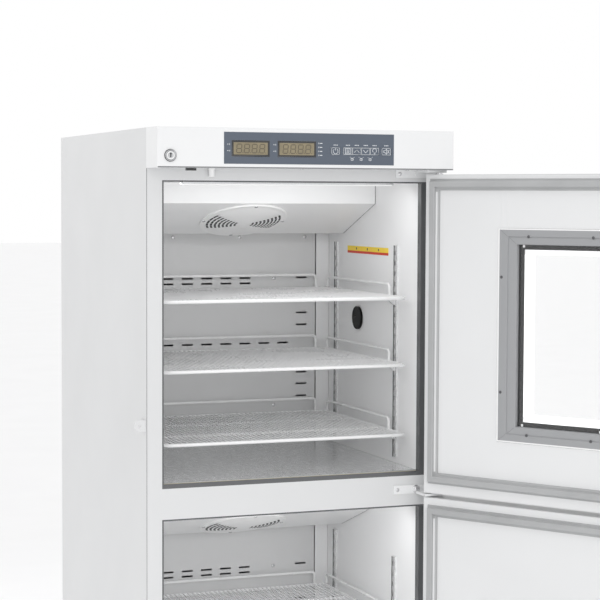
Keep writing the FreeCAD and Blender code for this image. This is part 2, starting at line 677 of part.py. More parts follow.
# ---------------------------------------------------------------- wire shelves


def stick(start, end, radius):
    return Part.makeCylinder(radius, (end - start).Length, start, end - start)


def bent_rail(foot, corner, far, end, radius, bend):
    # an upturned U of round wire with rounded corners
    points = [foot, corner, far, end]
    edges = []
    last = points[0]
    for i in (1, 2):
        back = (points[i - 1] - points[i]).normalize()
        ahead = (points[i + 1] - points[i]).normalize()
        start = points[i] + back * bend
        stop = points[i] + ahead * bend
        mid = points[i] + (back + ahead) * (bend * (1 - math.sqrt(0.5)))
        edges.append(Part.LineSegment(last, start).toShape())
        edges.append(Part.Arc(start, mid, stop).toShape())
        last = stop
    edges.append(Part.LineSegment(last, points[3]).toShape())
    path = Part.Wire(edges)
    profile = Part.Wire([Part.Circle(foot, corner - foot, radius).toShape()])
    return path.makePipeShell([profile], True, True)


def wire_shelf():
    half = size("shelfHalf") - size("rimRod")
    front = size("shelfFront") + size("rimRod")
    rear = size("shelfRear") - size("rimRod")
    rim = size("rimRod")
    turn = size("shelfBend")
    corners = [Vector(-half, rear, 0), Vector(-half, front, 0), Vector(half, front, 0),
               Vector(half, rear, 0)]
    pieces = [bent_rail(*corners, rim, turn), stick(corners[0], corners[3], rim)]
    pieces += [Part.makeSphere(rim, corners[0]), Part.makeSphere(rim, corners[3])]
    for share in (0.3, 0.68):
        y = front + (rear - front) * share
        z = size("crossCentre")
        pieces.append(stick(Vector(-half, y, z), Vector(half, y, z), size("crossRod")))
    gaps = int(round(2 * half / size("deckPitch")))
    for k in range(1, gaps):
        x = -half + 2 * half * k / gaps
        z = size("deckCentre")
        into = max(0, turn - half + abs(x))
        start = front + turn - math.sqrt(turn ** 2 - into ** 2)
        pieces.append(stick(Vector(x, start, z), Vector(x, rear, z), size("deckWire")))
    wire = size("guardRod")
    sideTop = size("sideGuard") - wire
    rearTop = size("rearGuard") - wire
    bend = size("guardBend")
    for side in (-1, 1):
        x = side * half
        start = size("sideGuardFront")
        stop = rear - size("guardBend")
        pieces.append(bent_rail(Vector(x, start, 0), Vector(x, start, sideTop),
                                Vector(x, stop, sideTop), Vector(x, stop, 0), wire, bend))
    reach = size("rearGuardHalf") - wire
    pieces.append(bent_rail(Vector(-reach, rear, 0), Vector(-reach, rear, rearTop),
                            Vector(reach, rear, rearTop), Vector(reach, rear, 0), wire,
                            bend))
    return pieces[0].multiFuse(pieces[1:])


shelfShape = wire_shelf()
for label, high, drop in SHELVES:
    item = solid(label.title().replace("_", ""), shelfShape)
    place(item, "0", "0", "%s-%s" % (high, drop))
    node(item, label)

# ---------------------------------------------------------------- port and label

sleeveOut = rod("SleeveTube", "X", "halfOpen", port_y, port_z, "portSleeve",
                "stileWidth+0.5")
sleeveFlange = rod("SleeveFlange", "X", "halfWidth", port_y, port_z, "portFlange",
                   "portFlangeThick")
sleeveBore = rod("SleeveBore", "X", "halfOpen-5", port_y, port_z, "portBore",
                 "stileWidth+20")
node(cut("Sleeve", fuse("SleeveWhole", [sleeveOut, sleeveFlange]), [sleeveBore]),
     "port_sleeve")

plugCap = rod("PlugCap", "X", "halfOpen-portCapThick-fitGap", port_y, port_z, "portCap",
              "portCapThick")
plugStem = rod("PlugStem", "X", "halfOpen-fitGap-1", port_y, port_z, "plugRadius",
               "plugLength")
node(fuse("Plug", [plugCap, plugStem]), "port_plug")

node(box("MarkerStrip", "halfOpen-labelThick", "halfOpen", "labelFront", "labelRear",
         "upTop-labelDrop-labelTall", "upTop-labelDrop"), "marker_strip")

# ---------------------------------------------------------------- head and controls

headBlock = box("HeadBlock", "-halfWidth", "halfWidth", "-headDepth", "0", "headFoot",
                "cabHeight")


def front_edge(edge):
    ends = [vertex.Point for vertex in edge.Vertexes]
    return len(ends) == 2 and all(abs(p.y + size("headDepth")) < 0.01 for p in ends)


headRounded = rounded("HeadRounded", headBlock, "headRound", front_edge)
headRoom = box("HeadRoom", "-halfWidth+headWall", "halfWidth-headWall",
               "-headDepth+headWall", "1", "headFoot+headWall", "cabHeight-headWall")
face = "-headDepth"
overlaySpan = ("overlayLeft", "overlayRight", face + "-1", face + "+overlaySeat",
               "cabHeight-overlayFoot", "cabHeight-overlayTop")
headCuts = [headRoom, box("OverlaySeat", *overlaySpan)]

KEYS = [("power_button", 43.4, 64.0), ("set_button", 70.0, 89.0), ("up_button", 89.0, 108.0),
        ("down_button", 108.0, 127.0), ("lamp_button", 127.0, 146.0),
        ("mute_button", 150.5, 173.0)]
for label, left, right in KEYS:
    middle = (left + right) / 2
    headCuts.append(box(label + "Hole", "%g-stemWide/2-keyGap" % middle,
                        "%g+stemWide/2+keyGap" % middle, face + "-1", face + "+10",
                        "cabHeight-(keyTop+keyFoot)/2-stemTall/2-keyGap",
                        "cabHeight-(keyTop+keyFoot)/2+stemTall/2+keyGap"))
headCuts.append(rod("LockHole", "Y", "-lockSide", face + "-5", "cabHeight-lockDrop",
                    "lockBarrel+fitGap", "20"))
headCuts.append(box("BoltHole", "boltLeft-1", "boltRight+1", "boltFront-1",
                    "boltFront+boltThick+1", "headFoot-5", "headFoot+10"))
node(cut("Head", headRounded, headCuts), "head_bezel")

overlay = box("OverlayPlate", "overlayLeft+0.1", "overlayRight-0.1", face + "-overlayProud",
              face + "+overlaySeat", "cabHeight-overlayFoot+0.1",
              "cabHeight-overlayTop-0.1")
overlayCuts = []
panes = []
for name, left, right in (("PaneOne", "paneOneLeft", "paneOneRight"),
                          ("PaneTwo", "paneTwoLeft", "paneTwoRight")):
    overlayCuts.append(box(name + "Hole", left, right, face + "-5", face + "+5",
                           "cabHeight-paneFoot", "cabHeight-paneTop"))
    panes.append(box(name, left + "+0.1", right + "-0.1", face + "-overlayProud+0.1",
                     face + "+overlaySeat", "cabHeight-paneFoot+0.1",
                     "cabHeight-paneTop-0.1"))
for name, left, right in (("KeyHoleA", 43.1, 64.3), ("KeyHoleB", 69.7, 146.3),
                          ("KeyHoleC", 150.2, 173.3)):
    overlayCuts.append(box(name, "%g" % left, "%g" % right, face + "-5", face + "+5",
                           "cabHeight-keyFoot-keyGap", "cabHeight-keyTop+keyGap"))
LAMPS = [(18.2, 28.1), (18.2, 35.8), (18.2, 43.6), (18.2, 51.3), (-165.6, 32.0),
         (-165.6, 44.5), (-71.6, 32.0), (-71.6, 44.5)]
dots = []
for k, (side, drop) in enumerate(LAMPS):
    overlayCuts.append(rod("LampHole%d" % k, "Y", "%g" % side, face + "-5",
                           "cabHeight-%g" % drop, "lampRadius+0.1", "10"))
    dots.append(rod("LampDot%d" % k, "Y", "%g" % side, face + "-overlayProud-0.3",
                    "cabHeight-%g" % drop, "lampRadius", "overlaySeat+overlayProud+0.3"))
node(cut("Overlay", overlay, overlayCuts), "control_overlay")
node(group("Panes", panes), "display_windows")
node(group("Dots", dots), "indicator_lamps")

for label, left, right in KEYS:
    cap = box(label + "Cap", "%g+keyGap" % left, "%g-keyGap" % right, face + "-keyProud",
              face + "-keyProud+keyThick", "cabHeight-keyFoot", "cabHeight-keyTop")
    middle = (left + right) / 2
    stem = box(label + "Stem", "%g-stemWide/2" % middle, "%g+stemWide/2" % middle,
               face + "-keyProud+keyThick/2", face + "+stemLong",
               "cabHeight-(keyTop+keyFoot)/2-stemTall/2",
               "cabHeight-(keyTop+keyFoot)/2+stemTall/2")
    node(fuse(label + "Whole", [cap, stem]), label)

# ---------------------------------------------------------------- lock

lockX = "-lockSide"
lockZ = "cabHeight-lockDrop"
barrel = fuse("BarrelWhole", [
    rod("BarrelFlange", "Y", lockX, face + "-lockProud", lockZ, "lockFlange", "lockProud"),
    rod("BarrelTube", "Y", lockX, face, lockZ, "lockBarrel", "lockLong")])
node(cut("Barrel", barrel, [rod("BarrelBore", "Y", lockX, face + "-5", lockZ,
                                "lockCore+shaftFit", "lockLong+10")]), "lock_barrel")

coreEnd = face + "+lockLong+0.3"
core = fuse("CoreWhole", [
    rod("CorePlug", "Y", lockX, face + "-lockProud-0.4", lockZ, "lockCore",
        "lockLong+lockProud+0.7"),
    rod("CoreDisc", "Y", lockX, coreEnd, lockZ, "discRadius", "discThick"),
    rod("CorePin", "Y", "-lockSide+crankRadius*cos(45)", coreEnd,
        "cabHeight-lockDrop+crankRadius*sin(45)", "crankPin", "discThick+crankLong")])
keySlot = box("KeySlot", "-lockSide-0.6", "-lockSide+0.6", face + "-lockProud-2",
              face + "+6", "cabHeight-lockDrop-3.4", "cabHeight-lockDrop+3.4")
node(cut("Core", core, [keySlot]), "key_core")

yokeZ = "cabHeight-lockDrop+crankRadius*sin(45)"
yokeY = coreEnd + "+discThick+0.8"
yoke = box("YokePlate", "-lockSide+1", "boltRight", yokeY, yokeY + "+yokeThick",
           yokeZ + "-yokeTall/2", yokeZ + "+yokeTall/2")
bridge = box("YokeBridge", "boltLeft", "boltRight", "boltFront", yokeY + "+yokeThick",
             yokeZ + "-yokeTall/2", yokeZ)
tongue = box("Tongue", "boltLeft", "boltRight", "boltFront", "boltFront+boltThick",
             "headFoot-boltShow", yokeZ)
yokeSlot = box("YokeSlot", "-lockSide+crankRadius*cos(45)-crankPin-yokeSlack",
               "-lockSide+crankRadius+crankPin+yokeSlack", yokeY + "-2",
               yokeY + "+yokeThick+2", yokeZ + "-crankPin-yokeSlack",
               yokeZ + "+crankPin+yokeSlack")
node(cut("Bolt", fuse("BoltWhole", [yoke, bridge, tongue]), [yokeSlot]), "lock_bolt")

node(fuse("Sensor", [
    rod("SensorCollar", "Z", "sensorSide", "sensorFront", "headFoot-collarTall",
        "collarRadius", "collarTall"),
    rod("SensorBody", "Z", "sensorSide", "sensorFront", "cabHeight-sensorFoot",
        "sensorRadius", "sensorFoot-headHeight-collarTall+0.5")]), "door_sensor")

# ---------------------------------------------------------------- hinges


def bracket(name, arm, leg_low, leg_high, pin_low, pin_high):
    # leg on the front frame, arm forward over the door's corner, pin through the arm
    edge = "halfWidth-hingeEdge"
    return fuse(name, [
        box(name + "Leg", edge + "-legWide", edge, "-legThick", "0", leg_low, leg_high),
        box(name + "Arm", edge + "-armWide", edge, "-armFront", "0", arm, arm + "+armThick"),
        rod(name + "Pin", "Z", "pinSide", "-pinFront", pin_low, "pinRadius",
            "(%s)-(%s)" % (pin_high, pin_low)),
        rod(name + "Boss", "Y", edge + "-armWide-1", "-legThick-2.5",
            "(%s+%s)/2" % (leg_low, leg_high), "5.5", "3")])


brackets = [
    bracket("HingeTop", "headFoot-armThick", "headFoot-15", "headFoot",
            "upDoorTop-pinReach", "headFoot-1"),
    bracket("HingeMiddle", "upDoorBot-doorGap-armThick", "upDoorBot-doorGap-armThick-0.3",
            "upDoorBot+10.1", "loDoorTop-pinReach", "upDoorBot+pinReach"),
    bracket("HingeFoot", "loDoorBot-doorGap-armThick", "loDoorBot-doorGap-armThick",
            "loDoorBot+11", "loDoorBot-doorGap-armThick", "loDoorBot+pinReach")]
node(group("Hinges", brackets), "hinge_brackets")

# ---------------------------------------------------------------- padlock tabs

tabs = []
for name, low, high in CHAMBERS:
    base = high + "-tabDrop"
    blade = box(name + "TabBlade", "-halfWidth-tabReach+tabTall/2", "-halfWidth", "tabFront",
                "tabFront+tabThick", base + "-tabTall", base)
    nose = rod(name + "TabNose", "Y", "-halfWidth-tabReach+tabTall/2", "tabFront",
               base + "-tabTall/2", "tabTall/2", "tabThick")
    leg = box(name + "TabLeg", "-halfWidth-tabThick", "-halfWidth", "tabFront",
              "tabFront+tabLeg", base + "-tabTall", base)
    hole = rod(name + "TabHole", "Y", "-halfWidth-tabReach+tabTall/2-1", "-10",
               base + "-tabTall/2", "tabHole", "40")
    tabs.append(cut(name + "Tab", fuse(name + "TabWhole", [blade, nose, leg]), [hole]))
node(group("Tabs", tabs), "padlock_tabs")

# ---------------------------------------------------------------- fixed screws

screws = []


def screw(name, axis, x, y, z):
    screws.append(rod(name, axis, x, y, z, "screwHead", "screwProud"))


for name, low, high in CHAMBERS:
    for k, (side, drop) in enumerate([(-102.2, 119.9), (55.4, 119.9), (212.8, 119.9),
                                      (138.1, 214.0), (138.1, 504.1)]):
        screw("%sDuctScrew%d" % (name, k), "Y", "%g" % side, "ductPlane-screwProud",
              "%s-%g" % (high, drop))
    for k in range(4):
        head = rod("%sGuardScrew%d" % (name, k), "Z", "0", "0", "0", "screwHead",
                   "screwProud")
        angle = math.radians(90 * k)
        across = "screwRing*%.6f" % math.cos(angle)
        up = "screwRing*%.6f" % math.sin(angle)
        at_fan(head, high)
        rise = "guardRim"
        place(head, "fanSide+" + across,
              "hoodFront+(fanAlong-%s)/hoodLean-%s*hoodSlope/hoodLean" % (up, rise),
              "%s-hoodDrop-(fanAlong-%s)*hoodSlope/hoodLean-%s/hoodLean"
              % (high, up, rise))
        screws.append(head)
for k, side in enumerate((-5, 222)):
    screw("HeadScrew%d" % k, "Z", "%g" % side, "-40", "headFoot-screwProud")
for name, height in (("ScrewTop", "headFoot-7.5"), ("ScrewMiddle", "upDoorBot+1.4"),
                     ("ScrewFoot", "loDoorBot+2")):
    screw("Hinge" + name, "Y", "halfWidth-hingeEdge-legWide+8", "-legThick-screwProud",
          height)
node(group("Screws", screws), "panel_screws")

# ---------------------------------------------------------------- doors


def swung(item):
    # turns a piece drawn on the closed door about the hinge pins, to where it stands
    item.Placement = FreeCAD.Placement(Vector(), FreeCAD.Rotation(Vector(0, 0, 1), 1))
    item.setExpression("Placement.Rotation.Angle", bound("doorOpen"))
    place(item, "pinSide-pinSide*cos(doorOpen)-pinFront*sin(doorOpen)",
          "-pinFront-pinSide*sin(doorOpen)+pinFront*cos(doorOpen)")
    return item


def door(prefix, label, low, high, seal_top, window):
    inner = "-sealGap"
    block = box(prefix + "Block", "-doorHalf", "doorHalf", "doorFace", inner, low, high)

    def outer_edge(edge):
        ends = [vertex.Point for vertex in edge.Vertexes]
        return len(ends) == 2 and all(abs(p.y - size("doorFace")) < 0.01 for p in ends)

    soft = rounded(prefix + "Soft", block, "doorRound", outer_edge)
    room = box(prefix + "Room", "-doorHalf+doorSkin", "doorHalf-doorSkin",
               "doorFace+doorSkin", "0", low + "+doorSkin", high + "-doorSkin")
    shell = cut(prefix + "Tray", soft, [room])
    bushes = [shell]
    bores = []
    for end, foot, deep in (("Top", high + "-doorSkin/2-bushTall", high + "-pinReach-2"),
                            ("Foot", low + "+doorSkin/2", low + "-1")):
        bushes.append(box(prefix + "Bush" + end, "pinSide-bushHalf", "pinSide+bushHalf",
                          "-pinFront-bushHalf", "-pinFront+bushHalf", foot,
                          foot + "+bushTall"))
        bores.append(rod(prefix + "Bore" + end, "Z", "pinSide", "-pinFront", deep,
                         "pinRadius+pinFit", "pinReach+3"))
    cuts = bores
    edgeX0 = "-doorHalf+frameEdge"
    edgeX1 = "doorHalf-frameEdge"
    frameLow = low + "+frameFoot"
    frameHigh = high + "-frameTop"
    inset = "(frameWide-grooveWide/2)"
    if window:
        cuts.append(box(prefix + "Strike", "boltLeft-strikeGap", "boltRight+strikeGap",
                        "boltFront-strikeGap", "boltFront+boltThick+strikeGap",
                        high + "-5", high + "+5"))
        cuts.append(box(prefix + "SkinHole", edgeX0 + "+" + inset, edgeX1 + "-" + inset,
                        "doorFace-5", "doorFace+5", frameLow + "+" + inset,
                        frameHigh + "-" + inset))
    node(swung(cut(prefix + "Shell", fuse(prefix + "ShellWhole", bushes), cuts)),
         label + "_shell")

    panel = box(prefix + "PanelPlate", "-doorHalf+doorSkin+0.1", "doorHalf-doorSkin-0.1",
                "-sealGap-panelThick", inner, low + "+doorSkin+0.1", high + "-doorSkin-0.1")
    if window:
        hole = box(prefix + "PanelHole", edgeX0 + "+" + inset + "-0.5",
                   edgeX1 + "-" + inset + "+0.5", "-sealGap-10", "0",
                   frameLow + "+" + inset + "-0.5", frameHigh + "-" + inset + "+0.5")
        panel = cut(prefix + "Panel", panel, [hole])
    node(swung(group(prefix + "PanelWhole", [panel])), label + "_panel")

    sealX0 = "-doorHalf+sealInset"
    sealX1 = "doorHalf-sealInset"
    sealZ0 = low + "+sealFoot"
    sealZ1 = high + "-" + seal_top
    flat = ring(prefix + "SealFlat", sealX0, sealX1, inner, inner + "+sealBase", sealZ0,
                sealZ1, "sealWide")
    lip = ring(prefix + "SealLip", sealX0 + "+lipInset", sealX1 + "-lipInset",
               inner + "+sealBase-1", "-sealLip", sealZ0 + "+lipInset",
               sealZ1 + "-lipInset", "lipWide")
    node(swung(fuse(prefix + "Seal", [flat, lip])), label + "_seal")

    hold = "-doorHalf+handleEdge"
    middle = "(%s+%s)/2" % (low, high)
    reach = "doorFace-handleReach"
    grip = [rod(prefix + "Grip", "Z", hold, reach, middle + "-handleLong/2",
                "handleRadius", "handleLong")]
    for k, side in enumerate(("-", "+")):
        grip.append(rod("%sGripPost%d" % (prefix, k), "Y", hold, reach,
                        middle + side + "handlePitch/2", "handlePost", "handleReach"))
    node(swung(fuse(prefix + "Handle", grip)), label + "_handle")
    if not window:
        return

    # window: two-step frame on the inner panel, two panes and the black spacer between
    first = ring(prefix + "FrameFirst", edgeX0, edgeX1, inner, inner + "+frameProud",
                 frameLow, frameHigh, "frameWide")
    second = ring(prefix + "FrameSecond", edgeX0 + "+" + inset, edgeX1 + "-" + inset,
                  inner + "-stepDeep", inner + "+frameProud-stepLow",
                  frameLow + "+" + inset, frameHigh + "-" + inset, "frameStep")
    groove = ring(prefix + "Groove", edgeX0 + "+frameWide-grooveWide",
                  edgeX1 + "-frameWide+grooveWide", inner + "+frameProud-grooveDeep",
                  inner + "+frameProud+2", frameLow + "+frameWide-grooveWide",
                  frameHigh + "-frameWide+grooveWide", "grooveWide")
    node(swung(cut(prefix + "Frame", fuse(prefix + "FrameWhole", [first, second]),
                   [groove])), label + "_window_frame")

    lap = inset + "+0.3"
    behind = inner + "-stepDeep"
    glass = [box(prefix + "PaneIn", edgeX0 + "+" + lap, edgeX1 + "-(%s)" % lap,
                 behind + "-paneThick", behind, frameLow + "+" + lap,
                 frameHigh + "-(%s)" % lap),
             box(prefix + "PaneOut", edgeX0 + "+" + lap, edgeX1 + "-(%s)" % lap,
                 "doorFace", "doorFace+paneThick", frameLow + "+" + lap,
                 frameHigh + "-(%s)" % lap)]
    node(swung(group(prefix + "Glass", glass)), label + "_window_glass")
    node(swung(ring(prefix + "Spacer", edgeX0 + "+" + lap, edgeX1 + "-(%s)" % lap,
                    "doorFace+paneThick", behind + "-paneThick", frameLow + "+" + lap,
                    frameHigh + "-(%s)" % lap, "spacerWide")), label + "_window_spacer")

    heads = []
    spots = [(8.6, frameHigh + "-96.8"), (8.6, frameLow + "+99.1"),
             (68.2, frameHigh + "-16.6"), (68.2, frameLow + "+17.5")]
    for k, (across, height) in enumerate(spots):
        for side, at in (("R", "doorHalf-frameEdge-%g" % across),
                         ("L", "-doorHalf+frameEdge+%g" % across)):
            heads.append(rod("%sFrameScrew%d%s" % (prefix, k, side), "Y", at,
                             inner + "+frameProud", height, "3", "1"))
    node(swung(group(prefix + "FrameScrews", heads)), label + "_frame_screws")


door("UpDoor", "upper_door", "upDoorBot", "upDoorTop", "sealTop", True)
door("LowDoor", "lower_door", "loDoorBot", "loDoorTop", "sealLowTop", False)

# ---------------------------------------------------------------- machine compartment

tray = [box("TrayPlate", "-halfWidth+skin", "halfWidth-skin", "skin", "cabDepth-2*skin",
            "footHeight", "footHeight+trayThick")]
earBores = []
axleY = "cabDepth-rollerBack"
for name, sign in (("Left", "-"), ("Right", "")):
    for k, inner in enumerate(("-rollerWide/2-earGap-earThick", "+rollerWide/2+earGap")):
        low = "%srollerSide%s" % (sign, inner)
        tray.append(box("Ear%s%d" % (name, k), low, low + "+earThick", axleY + "-earHalf",
                        axleY + "+earHalf", "earFoot", "footHeight+trayThick/2"))
bore = rod("AxleBore", "X", "-halfWidth", axleY, "rollerRadius", "axleRadius+axleFit",
           "cabWidth")
node(cut("Tray", fuse("TrayWhole", tray), [bore]), "base_tray")

reachX = "rollerSide+rollerWide/2+earGap+earThick+4"
rollers = [rod("Axle", "X", "-" + reachX.replace("+", "-"), axleY, "rollerRadius",
               "axleRadius", "2*(%s)" % reachX)]
for name, sign in (("Left", "-"), ("Right", "")):
    rollers.append(rod("Roller" + name, "X", "%srollerSide-rollerWide/2" % sign, axleY,
                       "rollerRadius", "rollerRadius", "rollerWide"))
node(fuse("Rollers", rollers), "rear_rollers")

feet = []
for name, sign in (("Left", "-"), ("Right", "")):
    x = "%sfootSide" % sign
    feet.append(fuse("Foot" + name, [
        rod("FootPad" + name, "Z", x, "footFront", "0", "footPad", "footPadTall"),
        rod("FootStem" + name, "Z", x, "footFront", "footPadTall/2", "footStem",
            "footHeight-footPadTall/2"),
        rod("FootNut" + name, "Z", x, "footFront", "footHeight-footNutTall", "footNut",
            "footNutTall")]))
node(group("Feet", feet), "levelling_feet")

pumpZ = "footHeight+trayThick"
can = rod("PumpCan", "Z", "pumpSide", "pumpBack", pumpZ + "+pumpFoot", "pumpRadius",
          "pumpTall")
canSoft = rounded("PumpSoft", can, "pumpRound", lambda edge: edge.Closed)
pump = [canSoft, box("PumpPlate", "pumpSide-plateWide/2", "pumpSide+plateWide/2",
                     "pumpBack-plateDeep/2", "pumpBack+plateDeep/2", pumpZ + "+pumpFoot-1",
                     pumpZ + "+pumpFoot+2"),
        rod("PumpPost", "Z", "pumpSide", "pumpBack", pumpZ + "+pumpFoot-1", "pumpRadius*0.6",
            "20")]
for k, (a, b) in enumerate(((-1, -1), (-1, 1), (1, -1), (1, 1))):
    pump.append(rod("PumpFoot%d" % k, "Z", "pumpSide%+d*(plateWide/2-14)" % a,
                    "pumpBack%+d*(plateDeep/2-14)" % b, pumpZ, "9", "pumpFoot"))
node(fuse("Pump", pump), "compressor")

grille = box("GrillePlate", "-halfOpen+fitGap", "halfOpen-fitGap", "0", "skin",
             "footHeight+grilleEdge", "foamBase")
louvres = []
count = int((size("plinthHeight") - 60) // size("louvrePitch"))
for k in range(count):
    for name, sign in (("Left", "-"), ("Right", "")):
        low = "footHeight+30+%d*louvrePitch" % k
        louvres.append(box("Louvre%s%d" % (name, k), "%slouvreSide-louvreLong/2" % sign,
                           "%slouvreSide+louvreLong/2" % sign, "-5", "5", low,
                           low + "+louvreTall"))
node(cut("Grille", grille, louvres), "front_grille")

inletZ = "footHeight+inletUp"
inlet = fuse("InletWhole", [
    box("InletPlate", "inletSide-inletWide/2", "inletSide+inletWide/2", "cabDepth",
        "cabDepth+inletFlange", inletZ + "-inletTall/2", inletZ + "+inletTall/2"),
    box("InletBody", "inletSide-inletWide/2+8.5", "inletSide+inletWide/2-8.5",
        "cabDepth-inletBody", "cabDepth+1", inletZ + "-inletTall/2+3.5",
        inletZ + "+inletTall/2-3.5")])
socket = box("Socket", "inletSide-socketWide/2", "inletSide+socketWide/2",
             "cabDepth+inletFlange-socketDeep", "cabDepth+inletFlange+2",
             inletZ + "-socketTall/2", inletZ + "+socketTall/2")
hollow = cut("InletHollow", inlet, [socket])
pins = [hollow]
for k, (side, lift) in enumerate(((-7, -2), (0, 3), (7, -2))):
    pins.append(box("InletPin%d" % k, "inletSide%+g-1" % side, "inletSide%+g+1" % side,
                    "cabDepth+inletFlange-socketDeep-1",
                    "cabDepth+inletFlange-socketDeep+bladeLong",
                    inletZ + "%+g-2" % lift, inletZ + "%+g+2" % lift))
node(fuse("Inlet", pins), "power_inlet")

# ---------------------------------------------------------------- checks and output

doc.removeObject("Spare")
doc.recompute()
faults = []
for item in doc.Objects:
    if "Invalid" in item.State or "Error" in item.State:
        faults.append("%s is %s" % (item.Label, item.State))
for item in NODES:
    if item.Shape.isNull() or not item.Shape.isValid():
        faults.append("%s has no valid shape" % item.Label)
    if len(item.Shape.Solids) == 0:
        faults.append("%s has no solid" % item.Label)
if faults:
    raise ValueError("; ".join(faults))

os.makedirs("parts", exist_ok=True)
for item in NODES:
    item.Shape.exportStep("parts/%s.step" % item.Label)
    print(item.Label, len(item.Shape.Solids), round(item.Shape.Volume))
print(len(NODES), "nodes")
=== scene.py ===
import bmesh
import bpy
import json
import math
import numpy
from mathutils import Matrix, Vector


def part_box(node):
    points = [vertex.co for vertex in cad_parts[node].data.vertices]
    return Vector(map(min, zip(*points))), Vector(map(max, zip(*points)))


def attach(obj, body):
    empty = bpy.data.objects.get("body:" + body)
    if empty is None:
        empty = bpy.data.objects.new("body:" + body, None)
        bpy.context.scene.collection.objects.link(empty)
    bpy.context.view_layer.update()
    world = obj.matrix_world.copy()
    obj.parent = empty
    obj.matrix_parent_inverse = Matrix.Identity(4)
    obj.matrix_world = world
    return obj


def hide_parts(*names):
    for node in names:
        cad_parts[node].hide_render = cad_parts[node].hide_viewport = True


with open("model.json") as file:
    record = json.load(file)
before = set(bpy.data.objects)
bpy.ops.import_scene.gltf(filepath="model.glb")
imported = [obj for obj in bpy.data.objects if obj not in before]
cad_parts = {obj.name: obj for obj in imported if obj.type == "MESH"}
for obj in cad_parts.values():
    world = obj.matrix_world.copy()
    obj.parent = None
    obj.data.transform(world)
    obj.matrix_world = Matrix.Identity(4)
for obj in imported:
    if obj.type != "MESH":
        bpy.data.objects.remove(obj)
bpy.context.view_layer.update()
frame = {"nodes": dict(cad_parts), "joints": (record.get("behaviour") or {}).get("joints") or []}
nodes = frame["nodes"]
mm = 0.001  # metres
print("cabinet frame loaded,", len(nodes), "pieces")


cameraPlace = {
    "position": (-1.27801, -3.38320, 1.667746),
    "turn": 0.363242,  # radians to the right of +Y
    "pitch": -0.056779,
    "roll": 0.003976,
    "lens": 108.96,
    "sensor": 36,
}


def placeItem(name, data):
    item = bpy.data.objects.new(name, data)
    bpy.context.scene.collection.objects.link(item)
    return item


def placeCamera():
    lens = bpy.data.cameras.new("studioCamera")
    lens.lens = cameraPlace["lens"]
    lens.sensor_width = cameraPlace["sensor"]
    camera = placeItem("studioCamera", lens)
    aim = Matrix.Rotation(-cameraPlace["turn"], 4, "Z")
    tilt = Matrix.Rotation(math.pi / 2 + cameraPlace["pitch"], 4, "X")
    roll = Matrix.Rotation(cameraPlace["roll"], 4, "Z")
    camera.matrix_world = Matrix.Translation(cameraPlace["position"]) @ aim @ tilt @ roll
    bpy.context.scene.camera = camera


studioLook = {
    "sky": (1.0, 1.0, 1.0),
    "skyStrength": 1.0,
    "floor": {"colour": (0.93, 0.93, 0.935), "rough": 0.75, "drift": 0.01, "driftSize": 2.0,
              "peel": 0.02, "peelSize": 60, "speck": 0.0},
    "floorReach": 60,  # metres
    "floorDrop": 0.0005,  # metres below the feet
    "aim": (0, 0, 1.2),  # where the lights point
    "lights": [  # name, position, size, watts
        ("keyLight", (-2.6, -3.6, 3.4), 2.6, 14),
        ("fillLight", (2.8, -3.4, 2.2), 2.4, 6),
        ("frontLight", (-0.2, -4.2, 1.3), 2.2, 14),
        ("backLight", (0.4, 3.8, 3.0), 2.6, 10),
    ],
}


def layFloor():
    bm = bmesh.new()
    bmesh.ops.create_grid(bm, x_segments=8, y_segments=8, size=studioLook["floorReach"])
    mesh = bpy.data.meshes.new("studioFloor")
    bm.to_mesh(mesh)
    bm.free()
    floor = placeItem("studioFloor", mesh)
    floor.location.z = -studioLook["floorDrop"]
    mesh.materials.append(plainPaint("paleFloor", studioLook["floor"]))


def lightStudio():
    world = bpy.data.worlds.new("studioSky")
    world.use_nodes = True
    feed(world.node_tree.nodes["Background"], {
        "Color": (*studioLook["sky"], 1), "Strength": studioLook["skyStrength"]})
    bpy.context.scene.world = world
    for name, position, size, watts in studioLook["lights"]:
        lamp = bpy.data.lights.new(name, "AREA")
        lamp.size = size
        lamp.energy = watts
        holder = placeItem(name, lamp)
        holder.location = position
        way = Vector(studioLook["aim"]) - Vector(position)
        holder.rotation_euler = way.to_track_quat("-Z", "Y").to_euler()
    bpy.context.scene.view_settings.view_transform = "Standard"


def newFinish(name):
    finish = bpy.data.materials.new(name)
    finish.use_nodes = True
    tree = finish.node_tree
    return finish, tree, tree.nodes["Principled BSDF"]


def feed(node, values):
    # each socket takes a constant or another node's output
    for socket, value in values.items():
        if isinstance(value, bpy.types.NodeSocket):
            node.id_data.links.new(value, node.inputs[socket])
        else:
            node.inputs[socket].default_value = value


def addNode(tree, kind, values, **settings):
    made = tree.nodes.new(kind)
    for key, value in settings.items():
        setattr(made, key, value)
    feed(made, values)
    return made


def spotOn(tree):
    return addNode(tree, "ShaderNodeTexCoord", {}).outputs["Object"]


def grainAt(tree, size, detail=4.0, stretch=(1, 1, 1)):
    # noise measured on the piece itself, size in grains per metre
    scale = addNode(tree, "ShaderNodeMapping", {"Vector": spotOn(tree), "Scale": stretch})
    return addNode(tree, "ShaderNodeTexNoise", {
        "Vector": scale.outputs["Vector"], "Scale": size, "Detail": detail,
        "Roughness": 0.55}).outputs["Fac"]


def spread(tree, source, low, high, fromLow=0.3, fromHigh=0.7):
    return addNode(tree, "ShaderNodeMapRange", {
        "Value": source, "From Min": fromLow, "From Max": fromHigh, "To Min": low,
        "To Max": high}).outputs["Result"]


def blendColours(tree, share, first, second):
    mix = addNode(tree, "ShaderNodeMix", {"Factor": share}, data_type="RGBA")
    for socket, value in ((6, first), (7, second)):
        feed(mix, {socket: (*value, 1) if isinstance(value, tuple) else value})
    return mix.outputs[2]


